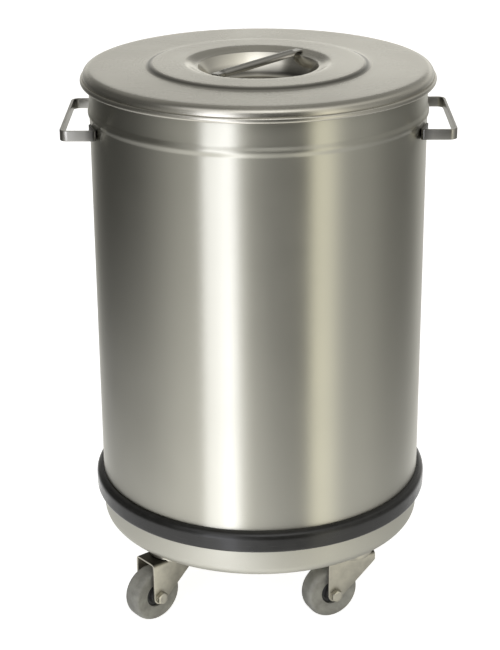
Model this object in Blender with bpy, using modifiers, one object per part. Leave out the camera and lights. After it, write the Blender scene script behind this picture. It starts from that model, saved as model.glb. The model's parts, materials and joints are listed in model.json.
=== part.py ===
"""Stainless waste bin on castors: drum, base pan, rubber bumper, lift-off lid and swivel castors.

Metres, +Z up. The floor is at Z = 0, the drum stands on the Z axis and its front faces -Y.
"""

from math import acos, atan2, cos, degrees, hypot, pi, radians, sin, tan

import bmesh
import bpy
from mathutils import Matrix

NAME = "wheeled_waste_bin"

# Gaps between pieces
SEAT = 0.0003                  # between pieces that rest on or fit round each other
HOLE_PLAY = 0.0003             # radial, round a bolt
WHEEL_PLAY = 0.0004            # radial, hub on its sleeve

# Facets round a turned piece
BODY_FACETS = 36
WHEEL_FACETS = 24
SWIVEL_FACETS = 16
BOLT_FACETS = 12

# Drum and its floor
BODY_RADIUS = 0.190            # outside of the drum and of the base pan
DRUM_WALL = 0.0012
DRUM_HEIGHT = 0.4955           # lower edge to the top of the rolled rim
RIM_ROLL = 0.0020              # radius of the rolled rim
BEAD_DROP = 0.046              # rim top to the middle of the swaged bead
BEAD_HEIGHT = 0.014
BEAD_PROUD = 0.0022
FLOOR_SHEET = 0.0012
FLOOR_CORNER = 0.003
FLOOR_FLANGE = 0.010           # turned-down edge welded inside the drum
FLOOR_DISH = 0.0025            # sunk middle of the floor
FLOOR_DISH_RADIUS = 0.140
FLOOR_DISH_SLOPE = 0.006

# Base pan and bumper
PAN_SHEET = 0.0015
PAN_HEIGHT = 0.0488            # pan bottom to the shoulder under the drum
PAN_CORNER = 0.012
PAN_SPIGOT = 0.012             # joggled edge that stands inside the drum
BUMPER_HEIGHT = 0.0245
BUMPER_DROP = 0.0127           # how far the bumper reaches below the joint it covers
BUMPER_DEPTH = 0.0084          # how far it stands out from the drum
BUMPER_TOP_ROUND = 0.009       # height of the upper shoulder
BUMPER_FOOT_ROUND = 0.0035

# Lid
LID_SHEET = 0.0012
LID_PLAY = 0.0026              # radial, between the rolled rim and the lid's skirt
LID_SKIRT = 0.0162             # flat rim to the bottom of the hem
LID_SHOULDER = 0.009           # outer radius between the flat rim and the skirt
HEM_ACROSS = 0.0020            # half of the flattened roll's width
HEM_RISE = 0.0030              # half of the flattened roll's height
PLATEAU_RADIUS = 0.122
PLATEAU_RISE = 0.0028
PLATEAU_SLOPE = 0.010          # width of the step up to the plateau
RECESS_LIP_RADIUS = 0.0835
RECESS_RADIUS = 0.068
RECESS_LIP_DROP = 0.0042
BOWL_DEPTH = 0.0255            # below the recess's edge
BOWL_WALL = radians(60)        # slope of the bowl's wall
BOWL_CORNER = 0.010            # radius between the wall and the flat bottom

# Bar across the recess
BAR_DIAMETER = 0.009
BAR_RISE = 0.0024              # bar's top above the plateau
BAR_TURN = radians(52)         # about Z, from +X
BAR_END_GAP = 0.005            # bar's end to the bowl's edge
TAB_WIDTH = 0.010
TAB_THICKNESS = 0.0015
TAB_INSET = 0.0065             # tab's end inside the lip's outer edge
TAB_ROOT = 0.005               # tab's length inside the bar

# Strap handles
STRAP_HEIGHT = 0.012
STRAP_THICKNESS = 0.003
STRAP_TO_BEAD = 0.001
HANDLE_REACH = 0.028           # outer face of the grip from the drum
HANDLE_SPAN = 0.144            # between the middles of the legs
HANDLE_CORNER = 0.008
HANDLE_FOOT = 0.024            # foot along the drum, from the leg
FOOT_BEND = 0.004

# Castors
CASTOR_INSET = 0.040           # swivel axis from the outside of the pan
CASTOR_TRAIL = 0.0285          # axle from the swivel axis
CASTOR_YAW = {                 # angle about Z where each wheel trails, from its swivel axis
    "front_left": radians(220),
    "front_right": radians(206),
    "rear_left": radians(214),
    "rear_right": radians(211),
}
CASTOR_BEARING = {             # angle about Z where each castor stands
    "front_left": radians(225),
    "front_right": radians(315),
    "rear_left": radians(135),
    "rear_right": radians(45),
}
WHEEL_RADIUS = 0.0325          # axle above the floor
TYRE_WIDTH = 0.023
TREAD_WIDTH = 0.011            # straight middle of the tread
TYRE_SHOULDER = 0.005          # how far the tyre's edge is set in
TYRE_BULGE = 0.0012            # flank's outer edge beyond its inner one
TYRE_BORE = 0.0148
HUB_WIDTH = 0.0265
HUB_RECESS = 0.0045            # hub's edge set in from the tyre's side
HUB_WALL = 0.003               # boss round the sleeve
SLEEVE_RADIUS = 0.006
AXLE_RADIUS = 0.004
AXLE_FLATS = 0.013
AXLE_HEAD = 0.0053
AXLE_NUT = 0.0065
AXLE_TIP = 0.002               # thread beyond the nut
FORK_SHEET = 0.0025
FORK_SIDE_GAP = 0.003          # tyre's side to the leg
FORK_BEND = 0.005
FORK_TIP = 0.009               # radius of the leg round the axle
FORK_NOSE = 0.024              # crown ahead of the swivel axis
FORK_NOSE_DEPTH = 0.011
TYRE_TO_CROWN = 0.010
CROWN_RADIUS = 0.023
CROWN_STEP = 0.0006            # race disc proud of the crown's sheet, above and below
BALL_RADIUS = 0.003
BALL_CIRCLE = 0.0155
BALLS = 6
CAGE_WIDTH = 0.0036
CAGE_THICKNESS = 0.0016
CAP_SHEET = 0.0025
CAP_RIM = 0.0022               # wall of the cap's turned-down edge
CAP_OVERHANG = 0.0026          # cap beyond the crown disc
CAP_TO_CROWN = 0.0004
BOLT_RADIUS = 0.005
BOLT_FLATS = 0.016
BOLT_HEAD = 0.0064
BOLT_NUT = 0.008
BOLT_TIP = 0.003
WASHER_RADIUS = 0.011
WASHER_THICKNESS = 0.002

# Radii that follow from the drum
DRUM_INSIDE = BODY_RADIUS - DRUM_WALL
RIM_OUTSIDE = DRUM_INSIDE + 2 * RIM_ROLL
SKIRT_OUTSIDE = RIM_OUTSIDE + LID_PLAY + LID_SHEET
LID_RADIUS = RIM_OUTSIDE + LID_PLAY + 2 * HEM_ACROSS
FLANGE_OUTSIDE = DRUM_INSIDE - SEAT
SPIGOT_OUTSIDE = FLANGE_OUTSIDE - FLOOR_CORNER - SEAT

# Heights, from the floor up
TYRE_TOP = 2 * WHEEL_RADIUS
CROWN_BOTTOM = TYRE_TOP + TYRE_TO_CROWN
CROWN_TOP = CROWN_BOTTOM + FORK_SHEET
RACE_TOP = CROWN_TOP + CROWN_STEP
RACE_BOTTOM = CROWN_BOTTOM - CROWN_STEP
BALL_HEIGHT = RACE_TOP + SEAT + BALL_RADIUS
CAP_BOTTOM = BALL_HEIGHT + BALL_RADIUS + SEAT
CAP_TOP = CAP_BOTTOM + CAP_SHEET
PAN_BOTTOM = CAP_TOP + SEAT
PAN_SHOULDER = PAN_BOTTOM + PAN_HEIGHT
DRUM_BOTTOM = PAN_SHOULDER + SEAT
RIM_TOP = DRUM_BOTTOM + DRUM_HEIGHT
BEAD_MIDDLE = RIM_TOP - BEAD_DROP
STRAP_MIDDLE = BEAD_MIDDLE - BEAD_HEIGHT / 2 - STRAP_TO_BEAD - STRAP_HEIGHT / 2

# The lid rests on the rolled rim with the inside of its shoulder: both are round, so the gap between them
# and how far apart their middles lie across give the height between their middles.
RIM_FROM_SHOULDER = DRUM_INSIDE + RIM_ROLL - (SKIRT_OUTSIDE - LID_SHOULDER)
SHOULDER_REACH = LID_SHOULDER - LID_SHEET - SEAT - RIM_ROLL
SHOULDER_DROP = (SHOULDER_REACH ** 2 - RIM_FROM_SHOULDER ** 2) ** 0.5
LID_TOP = RIM_TOP - RIM_ROLL - SHOULDER_DROP + LID_SHOULDER
PLATEAU_TOP = LID_TOP + PLATEAU_RISE

# Fork and axle stations across the wheel
LEG_INSIDE = TYRE_WIDTH / 2 + FORK_SIDE_GAP
LEG_OUTSIDE = LEG_INSIDE + FORK_SHEET

PARTS = bpy.data.collections.new(NAME)
CUTTERS = bpy.data.collections.new(NAME + "_cutters")


def clear_scene():
    """Empty the scene and link the two collections that the bin uses."""
    for item in list(bpy.data.objects):
        bpy.data.objects.remove(item, do_unlink=True)
    for group in (PARTS, CUTTERS):
        bpy.context.scene.collection.children.link(group)


def finish(name, colour, roughness, metallic):
    """A plain Principled material."""
    material = bpy.data.materials.new(name)
    material.use_nodes = True
    shader = material.node_tree.nodes["Principled BSDF"]
    shader.inputs["Base Color"].default_value = (*colour, 1.0)
    shader.inputs["Roughness"].default_value = roughness
    shader.inputs["Metallic"].default_value = metallic
    return material


# Points of outlines and profiles

def arc(centre, radius, start, end, steps):
    """Points along a circle from one angle to another, in degrees, both ends included."""
    angles = [radians(start + (end - start) * i / steps) for i in range(steps + 1)]
    return [(centre[0] + radius * cos(a), centre[1] + radius * sin(a)) for a in angles]


def ellipse(centre, across, up, start, end, steps):
    """Points along an ellipse from one angle to another, in degrees, both ends included."""
    angles = [radians(start + (end - start) * i / steps) for i in range(steps + 1)]
    return [(centre[0] + across * cos(a), centre[1] + up * sin(a)) for a in angles]


def wave(start, end, steps):
    """Points of a smooth step between two points, level at both ends."""
    points = []
    for i in range(steps + 1):
        t = i / steps
        lift = (1 - cos(pi * t)) / 2
        points.append((start[0] + (end[0] - start[0]) * t, start[1] + (end[1] - start[1]) * lift))
    return points


def offset(line, distance):
    """The line moved to its right by a distance, with mitred corners; axis points stay on the axis."""
    moved = []
    for i, (x, y) in enumerate(line):
        normals = []
        for j in (i - 1, i):
            if 0 <= j < len(line) - 1:
                dx, dy = line[j + 1][0] - line[j][0], line[j + 1][1] - line[j][1]
                normals.append((dy / hypot(dx, dy), -dx / hypot(dx, dy)))
        nx, ny = normals[0][0] + normals[-1][0], normals[0][1] + normals[-1][1]
        mitre = 2 * distance / (nx * nx + ny * ny)
        moved.append((0.0 if x == 0 else x + nx * mitre, y + ny * mitre))
    return moved


# Solids

def add(name, data, group, parent=None, material=None):
    """Link a new object, place it under its parent and give it its material."""
    piece = bpy.data.objects.new(name, data)
    group.objects.link(piece)
    piece.parent = parent
    if group is CUTTERS:
        piece.hide_render = True
        piece.display_type = "WIRE"
    if material:
        data.materials.append(material)
    return piece


def empty(name, parent, location, turn=(0.0, 0.0, 0.0)):
    """An axis that pieces hang on."""
    axis = add(name, None, PARTS, parent)
    axis.location = location
    axis.rotation_euler = turn
    return axis


def turned(name, profile, facets, material, parent=None, ring=True, group=PARTS):
    """Turn a profile of (radius, height) points about Z; a ring's profile is a closed loop."""
    count = len(profile)
    edges = [(i, (i + 1) % count) for i in range(count if ring else count - 1)]
    mesh = bpy.data.meshes.new(name)
    mesh.from_pydata([(radius, 0.0, height) for radius, height in profile], edges, [])
    piece = add(name, mesh, group, parent, material)
    screw = piece.modifiers.new("turn", "SCREW")
    screw.axis = "Z"
    screw.steps = screw.render_steps = facets
    screw.use_merge_vertices = True
    screw.merge_threshold = 0.00001
    screw.use_smooth_shade = True
    return piece


def cylinder(name, radius, low, high, facets, group, parent=None, material=None):
    """A capped cylinder on its parent's Z axis."""
    shape = bmesh.new()
    middle = Matrix.Translation((0, 0, (low + high) / 2))
    bmesh.ops.create_cone(shape, cap_ends=True, segments=facets, radius1=radius, radius2=radius,
                          depth=high - low, matrix=middle)
    mesh = bpy.data.meshes.new(name)
    shape.to_mesh(mesh)
    shape.free()
    mesh.shade_smooth()
    mesh.set_sharp_from_angle(angle=radians(40))
    return add(name, mesh, group, parent, material)


def hexagon(name, flats, low, high, group, parent=None, material=None):
    """A six-sided head or nut, by its width across flats."""
    return cylinder(name, flats / 2 / cos(pi / 6), low, high, 6, group, parent, material)


def plate(name, outline, thickness, group, parent=None, material=None):
    """A flat outline in the XY plane with its thickness centred on it."""
    curve = bpy.data.curves.new(name, "CURVE")
    curve.dimensions = "2D"
    curve.fill_mode = "BOTH"
    curve.extrude = thickness / 2
    spline = curve.splines.new("POLY")
    spline.points.add(len(outline) - 1)
    for point, (x, y) in zip(spline.points, outline):
        point.co = (x, y, 0.0, 1.0)
    spline.use_cyclic_u = True
    return add(name, curve, group, parent, material)


def as_mesh(piece, group, material=None):
    """Swap a curve object for a welded mesh of the same name, place and parent."""
    bpy.context.view_layer.update()
    evaluated = piece.evaluated_get(bpy.context.evaluated_depsgraph_get())
    mesh = bpy.data.meshes.new_from_object(evaluated)
    shape = bmesh.new()
    shape.from_mesh(mesh)
    bmesh.ops.remove_doubles(shape, verts=shape.verts, dist=0.00001)
    bmesh.ops.recalc_face_normals(shape, faces=shape.faces)
    shape.to_mesh(mesh)
    shape.free()
    name, parent, place = piece.name, piece.parent, piece.matrix_basis.copy()
    bpy.data.objects.remove(piece, do_unlink=True)
    mesh.name = name
    swapped = add(name, mesh, group, parent, material)
    swapped.matrix_basis = place
    return swapped


def combine(piece, other, operation):
    """Join, cut or intersect a piece with another solid."""
    boolean = piece.modifiers.new(operation.lower(), "BOOLEAN")
    boolean.operation = operation
    boolean.solver = "EXACT"
    boolean.object = other


# Body

def drum_shell(material):
    """Rolled sheet cylinder with a rolled rim at the top and one swaged bead below it."""
    roll = (DRUM_INSIDE + RIM_ROLL, RIM_TOP - RIM_ROLL)
    meets_wall = degrees(acos((DRUM_WALL - RIM_ROLL) / RIM_ROLL))
    rim = arc(roll, RIM_ROLL, 180, -meets_wall, 6)
    bead = [(BEAD_PROUD * sin(pi * i / 4) ** 2, BEAD_MIDDLE + BEAD_HEIGHT * (0.5 - i / 4))
            for i in range(5)]
    outside = [(BODY_RADIUS + proud, height) for proud, height in bead]
    inside = [(DRUM_INSIDE + proud, height) for proud, height in reversed(bead)]
    foot = [(BODY_RADIUS, DRUM_BOTTOM), (DRUM_INSIDE, DRUM_BOTTOM)]
    return turned("drum_shell", rim + outside + foot + inside, BODY_FACETS, material)


def drum_floor(material):
    """Dished floor with a turned-down flange welded inside the drum's lower end."""
    under = PAN_SHOULDER + PAN_SPIGOT + SEAT
    top = under + FLOOR_SHEET
    dish = wave((FLOOR_DISH_RADIUS, top - FLOOR_DISH),
                (FLOOR_DISH_RADIUS + FLOOR_DISH_SLOPE, top), 1)
    corner = arc((FLANGE_OUTSIDE - FLOOR_CORNER, top - FLOOR_CORNER), FLOOR_CORNER, 90, 0, 1)
    line = [(0.0, top - FLOOR_DISH)] + dish + corner + [(FLANGE_OUTSIDE, under - FLOOR_FLANGE)]
    profile = line + offset(line, FLOOR_SHEET)[::-1]
    return turned("drum_floor", profile, BODY_FACETS, material, ring=False)


def base_pan(material, pivots):
    """Pressed pan under the drum: joggled spigot, straight side, round corner, flat bottom."""
    corner = arc((BODY_RADIUS - PAN_CORNER, PAN_BOTTOM + PAN_CORNER), PAN_CORNER, 0, -90, 3)
    line = [(SPIGOT_OUTSIDE, PAN_SHOULDER + PAN_SPIGOT), (SPIGOT_OUTSIDE, PAN_SHOULDER),
            (BODY_RADIUS, PAN_SHOULDER)] + corner + [(0.0, PAN_BOTTOM)]
    profile = offset(line, PAN_SHEET)[::-1] + line
    pan = turned("base_pan", profile, BODY_FACETS, material, ring=False)
    for place, pivot in pivots.items():
        hole = cylinder(f"pan_hole_{place}", BOLT_RADIUS + HOLE_PLAY, CAP_BOTTOM,
                        PAN_BOTTOM + 2 * PAN_SHEET, BOLT_FACETS, CUTTERS, pivot)
        combine(pan, hole, "DIFFERENCE")
    return pan


def bumper_ring(material):
    """Rubber ring over the joint of drum and pan: full upper shoulder, tighter lower one."""
    inside = BODY_RADIUS + SEAT
    outside = BODY_RADIUS + BUMPER_DEPTH
    foot = PAN_SHOULDER - BUMPER_DROP
    top = foot + BUMPER_HEIGHT
    shoulder = ellipse((inside, top - BUMPER_TOP_ROUND), outside - inside, BUMPER_TOP_ROUND, 90, 0, 4)
    heel = arc((outside - BUMPER_FOOT_ROUND, foot + BUMPER_FOOT_ROUND), BUMPER_FOOT_ROUND, 0, -90, 2)
    return turned("bumper_ring", shoulder + heel + [(inside, foot)], BODY_FACETS, material)


def handle_outline():
    """Plan of one strap handle at +X: feet on the drum bent towards each other, legs and grip."""
    face = BODY_RADIUS + SEAT + STRAP_THICKNESS
    leg = HANDLE_SPAN / 2 + STRAP_THICKNESS / 2
    grip = BODY_RADIUS + HANDLE_REACH
    corner = HANDLE_CORNER + STRAP_THICKNESS / 2
    bend = FOOT_BEND
    # The bend's middle lies one bend radius from the leg's outer face and from the foot's inner face.
    bend_y = leg - bend
    bend_x = ((face - STRAP_THICKNESS + bend) ** 2 - bend_y ** 2) ** 0.5
    meets = atan2(bend_y, bend_x)
    foot_end = meets - HANDLE_FOOT / BODY_RADIUS
    foot = arc((0, 0), face - STRAP_THICKNESS, degrees(foot_end), degrees(meets), 3)
    turn = arc((bend_x, bend_y), bend, degrees(meets) + 180, 90, 4)
    far = arc((grip - corner, leg - corner), corner, 90, 0, 3)
    half = foot + turn[1:] + far
    return half + [(x, -y) for x, y in reversed(half)]


def strap_handle(name, turn, material):
    """Bent strap welded to the drum by its two feet."""
    line = handle_outline()
    outline = line + offset(line, STRAP_THICKNESS)[::-1]
    strap = plate(name, outline, STRAP_HEIGHT, PARTS, None, material)
    strap.location.z = STRAP_MIDDLE
    strap.rotation_euler.z = turn
    return strap


# Lid

def lid_panel(material):
    """Pressed lid: steep bowl, lip, plateau, flat rim, round shoulder, and a flattened roll as its hem."""
    edge = PLATEAU_TOP - RECESS_LIP_DROP
    bottom = edge - BOWL_DEPTH
    foot = RECESS_RADIUS - BOWL_DEPTH / tan(BOWL_WALL)
    corner = arc((foot - BOWL_CORNER * tan(BOWL_WALL / 2), bottom + BOWL_CORNER), BOWL_CORNER,
                 -90, degrees(BOWL_WALL) - 90, 2)
    bowl = [(0.0, bottom)] + corner + [(RECESS_RADIUS, edge)]
    lip = wave((RECESS_RADIUS, edge), (RECESS_LIP_RADIUS, PLATEAU_TOP), 3)
    step = wave((PLATEAU_RADIUS - PLATEAU_SLOPE / 2, PLATEAU_TOP),
                (PLATEAU_RADIUS + PLATEAU_SLOPE / 2, LID_TOP), 3)
    shoulder = arc((SKIRT_OUTSIDE - LID_SHOULDER, LID_TOP - LID_SHOULDER), LID_SHOULDER, 90, 0, 4)
    top = bowl + lip[1:] + step + shoulder
    meets_skirt = degrees(acos((LID_SHEET - HEM_ACROSS) / HEM_ACROSS))
    hem = ellipse((LID_RADIUS - HEM_ACROSS, LID_TOP - LID_SKIRT + HEM_RISE), HEM_ACROSS, HEM_RISE,
                  meets_skirt, -180, 5)
    profile = top + hem + offset(top, LID_SHEET)[::-1]
    return turned("lid_panel", profile, BODY_FACETS, material, ring=False)


def lid_handle_bar(material):
    """Round bar across the recess; each end is flattened into a level tab welded to the lip."""
    axis = empty("lid_bar_axis", None, (0, 0, 0), (0, 0, BAR_TURN))
    half = RECESS_RADIUS - BAR_END_GAP
    bar = cylinder("lid_handle_bar", BAR_DIAMETER / 2, -half, half, BOLT_FACETS, PARTS, axis, material)
    bar.location.z = PLATEAU_TOP + BAR_RISE - BAR_DIAMETER / 2
    bar.rotation_euler.y = pi / 2
    # The tab's end rests on the slope of the lip.
    end = RECESS_LIP_RADIUS - TAB_INSET
    climb = TAB_INSET / (RECESS_LIP_RADIUS - RECESS_RADIUS)
    under = PLATEAU_TOP - RECESS_LIP_DROP * (1 - cos(pi * climb)) / 2 + SEAT
    root = half - TAB_ROOT
    outline = [(root, under), (end, under), (end, under + TAB_THICKNESS), (root, under + TAB_THICKNESS)]
    for side, turn in (("rear", 0.0), ("front", pi)):
        tab = plate(f"bar_tab_{side}", outline, TAB_WIDTH, CUTTERS, axis)
        tab.rotation_euler = (pi / 2, 0, turn)
        combine(bar, as_mesh(tab, CUTTERS), "UNION")
    return bar


# Castors

def castor_fork(place, pivot, axle, material):
    """Pressed fork: a bent channel cut to the legs' outline, with a race disc on its crown."""
    low = WHEEL_RADIUS - 2 * FORK_TIP
    bend = [(-LEG_OUTSIDE, low)]
    bend += arc((FORK_BEND - LEG_OUTSIDE, CROWN_TOP - FORK_BEND), FORK_BEND, 180, 90, 2)
    bend += arc((LEG_OUTSIDE - FORK_BEND, CROWN_TOP - FORK_BEND), FORK_BEND, 90, 0, 2)
    bend += [(LEG_OUTSIDE, low)]
    tail = CASTOR_TRAIL + FORK_TIP
    length = 2 * (tail + FORK_NOSE)
    channel = plate(f"castor_{place}_fork", bend + offset(bend, FORK_SHEET)[::-1], length, PARTS, pivot)
    channel.rotation_euler = (pi / 2, 0, pi / 2)
    fork = as_mesh(channel, PARTS, material)
    # The leading edge runs from the nose down to a tangent of the circle round the axle.
    nose = (-FORK_NOSE, CROWN_TOP - FORK_NOSE_DEPTH)
    dx, dz = nose[0] - CASTOR_TRAIL, nose[1] - WHEEL_RADIUS
    touch = degrees(atan2(dz, dx) + acos(FORK_TIP / hypot(dx, dz)))
    tip = arc((CASTOR_TRAIL, WHEEL_RADIUS), FORK_TIP, 360, touch, 5)
    above = CROWN_TOP + FORK_SHEET
    side = plate(f"leg_outline_{place}", [(-FORK_NOSE, above), (tail, above)] + tip + [nose],
                 3 * LEG_OUTSIDE, CUTTERS, pivot)
    side.rotation_euler = (pi / 2, 0, 0)
    combine(fork, as_mesh(side, CUTTERS), "INTERSECT")
    combine(fork, cylinder(f"crown_disc_{place}", CROWN_RADIUS, RACE_BOTTOM, RACE_TOP,
                           SWIVEL_FACETS, CUTTERS, pivot), "UNION")
    combine(fork, cylinder(f"crown_hole_{place}", BOLT_RADIUS + HOLE_PLAY, RACE_BOTTOM - FORK_SHEET,
                           RACE_TOP + FORK_SHEET, BOLT_FACETS, CUTTERS, pivot), "DIFFERENCE")
    combine(fork, cylinder(f"leg_holes_{place}", AXLE_RADIUS + HOLE_PLAY, -2 * LEG_OUTSIDE,
                           2 * LEG_OUTSIDE, BOLT_FACETS, CUTTERS, axle), "DIFFERENCE")
    return fork


def castor_swivel(place, pivot, steel, race):
    """Fixed half of the swivel: cap, ball ring, and the bolt, washer and nut through the pan."""
    hole = BOLT_RADIUS + HOLE_PLAY
    rim = CROWN_RADIUS + CAP_OVERHANG
    rim_low = RACE_TOP + CAP_TO_CROWN
    turned(f"castor_{place}_swivel_cap", [(hole, CAP_TOP), (rim, CAP_TOP), (rim, rim_low),
                                          (rim - CAP_RIM, rim_low), (rim - CAP_RIM, CAP_BOTTOM),
                                          (hole, CAP_BOTTOM)], SWIVEL_FACETS, steel, pivot)
    cage_low, cage_high = BALL_HEIGHT - CAGE_THICKNESS / 2, BALL_HEIGHT + CAGE_THICKNESS / 2
    cage_in, cage_out = BALL_CIRCLE - CAGE_WIDTH / 2, BALL_CIRCLE + CAGE_WIDTH / 2
    cage = turned(f"castor_{place}_ball_ring", [(cage_in, cage_high), (cage_out, cage_high),
                                                (cage_out, cage_low), (cage_in, cage_low)],
                  BOLT_FACETS, race, pivot)
    shape = bmesh.new()
    for i in range(BALLS):
        turn = Matrix.Rotation(2 * pi * i / BALLS, 4, "Z")
        bmesh.ops.create_icosphere(shape, subdivisions=1, radius=BALL_RADIUS,
                                   matrix=turn @ Matrix.Translation((BALL_CIRCLE, 0, BALL_HEIGHT)))
    mesh = bpy.data.meshes.new(f"balls_{place}")
    shape.to_mesh(mesh)
    shape.free()
    combine(cage, add(f"balls_{place}", mesh, CUTTERS, pivot), "UNION")
    # The bolt's head is under the crown, its nut inside the pan.
    head_top = RACE_BOTTOM - SEAT
    washer_low = PAN_BOTTOM + PAN_SHEET + SEAT
    nut_low = washer_low + WASHER_THICKNESS + SEAT
    nut_high = nut_low + BOLT_NUT
    bolt = hexagon(f"castor_{place}_bolt", BOLT_FLATS, head_top - BOLT_HEAD, head_top, PARTS, pivot, steel)
    combine(bolt, cylinder(f"bolt_shank_{place}", BOLT_RADIUS, head_top - BOLT_HEAD / 2,
                           nut_high + BOLT_TIP, BOLT_FACETS, CUTTERS, pivot), "UNION")
    washer_high = washer_low + WASHER_THICKNESS
    turned(f"castor_{place}_washer", [(hole, washer_high), (WASHER_RADIUS, washer_high),
                                      (WASHER_RADIUS, washer_low), (hole, washer_low)],
           BOLT_FACETS, steel, pivot)
    nut = hexagon(f"castor_{place}_nut", BOLT_FLATS, nut_low, nut_high, PARTS, pivot, steel)
    combine(nut, cylinder(f"nut_hole_{place}", hole, nut_low - BOLT_NUT, nut_high + BOLT_NUT,
                          BOLT_FACETS, CUTTERS, pivot), "DIFFERENCE")


def castor_axle(place, axle, steel):
    """Axle bolt, its nut and the sleeve that the legs clamp; Z runs along the axle."""
    head_low = LEG_OUTSIDE + SEAT
    nut_low = -head_low - AXLE_NUT
    bolt = hexagon(f"castor_{place}_axle", AXLE_FLATS, head_low, head_low + AXLE_HEAD, PARTS, axle, steel)
    combine(bolt, cylinder(f"axle_shank_{place}", AXLE_RADIUS, nut_low - AXLE_TIP,
                           head_low + AXLE_HEAD / 2, BOLT_FACETS, CUTTERS, axle), "UNION")
    nut = hexagon(f"castor_{place}_axle_nut", AXLE_FLATS, nut_low, -head_low, PARTS, axle, steel)
    combine(nut, cylinder(f"axle_nut_hole_{place}", AXLE_RADIUS + HOLE_PLAY, nut_low - AXLE_NUT,
                          head_low, BOLT_FACETS, CUTTERS, axle), "DIFFERENCE")
    half = LEG_INSIDE - SEAT
    bore = AXLE_RADIUS + HOLE_PLAY
    turned(f"castor_{place}_sleeve", [(bore, half), (SLEEVE_RADIUS, half), (SLEEVE_RADIUS, -half),
                                      (bore, -half)], BOLT_FACETS, steel, axle)


def castor_wheel(place, axle, rubber, plastic):
    """Solid rubber tyre on a plastic hub; a flat of the tread lies on the floor."""
    flat = 1 / cos(pi / WHEEL_FACETS)
    edge = TYRE_WIDTH / 2
    tread = WHEEL_RADIUS * flat
    rim = tread - TYRE_SHOULDER
    half = [(TYRE_BORE, edge - TYRE_BULGE), (rim, edge), (tread, TREAD_WIDTH / 2)]
    tyre = turned(f"castor_{place}_tyre", half + [(r, -z) for r, z in reversed(half)],
                  WHEEL_FACETS, rubber, axle)
    bore = SLEEVE_RADIUS + WHEEL_PLAY
    boss = bore + HUB_WALL
    half = [(bore, HUB_WIDTH / 2), (boss, HUB_WIDTH / 2), (TYRE_BORE - SEAT, edge - HUB_RECESS)]
    hub = turned(f"castor_{place}_hub", half + [(r, -z) for r, z in reversed(half)],
                 WHEEL_FACETS, plastic, axle)
    for piece in (tyre, hub):
        piece.rotation_euler.z = pi / WHEEL_FACETS


def castor(place, pivot, finishes):
    """One swivel castor; the axle's frame has Z along the axle, towards the bolt's head."""
    axle = empty(f"castor_{place}_axle_axis", pivot, (CASTOR_TRAIL, 0, WHEEL_RADIUS), (-pi / 2, 0, 0))
    castor_fork(place, pivot, axle, finishes["zinc"])
    castor_swivel(place, pivot, finishes["zinc"], finishes["race"])
    castor_axle(place, axle, finishes["zinc"])
    castor_wheel(place, axle, finishes["tyre"], finishes["hub"])


def castor_pivots():
    """An upright axis for each castor, turned to where its wheel trails at rest."""
    circle = BODY_RADIUS - CASTOR_INSET
    return {place: empty(f"castor_{place}_swivel_axis", None,
                         (circle * cos(angle), circle * sin(angle), 0), (0, 0, CASTOR_YAW[place]))
            for place, angle in CASTOR_BEARING.items()}


def main():
    clear_scene()
    finishes = {
        "drum": finish("satin_stainless", (0.60, 0.59, 0.55), 0.32, 1.0),
        "lid": finish("matt_stainless", (0.62, 0.61, 0.57), 0.38, 1.0),
        "pan": finish("pressed_stainless", (0.70, 0.70, 0.66), 0.42, 1.0),
        "strap": finish("strap_steel", (0.58, 0.57, 0.53), 0.35, 1.0),
        "bumper": finish("black_rubber", (0.035, 0.034, 0.032), 0.55, 0.0),
        "tyre": finish("grey_rubber", (0.16, 0.16, 0.15), 0.60, 0.0),
        "hub": finish("dark_hub_plastic", (0.05, 0.05, 0.05), 0.50, 0.0),
        "zinc": finish("zinc_plate", (0.62, 0.61, 0.58), 0.40, 1.0),
        "race": finish("ball_steel", (0.55, 0.55, 0.55), 0.25, 1.0),
    }
    pivots = castor_pivots()
    drum_shell(finishes["drum"])
    drum_floor(finishes["drum"])
    base_pan(finishes["pan"], pivots)
    bumper_ring(finishes["bumper"])
    strap_handle("right_handle", 0.0, finishes["strap"])
    strap_handle("left_handle", pi, finishes["strap"])
    lid_panel(finishes["lid"])
    lid_handle_bar(finishes["strap"])
    for place, pivot in pivots.items():
        castor(place, pivot, finishes)


main()
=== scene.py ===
"""Looks of the wheeled waste bin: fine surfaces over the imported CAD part, their finishes and a plain studio.

It runs as a script: main() registers the panel and the operators, makes every piece once and sets the stage.
"""

import json
from math import acos, atan2, cos, degrees, hypot, pi, radians, sin, tan

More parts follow.
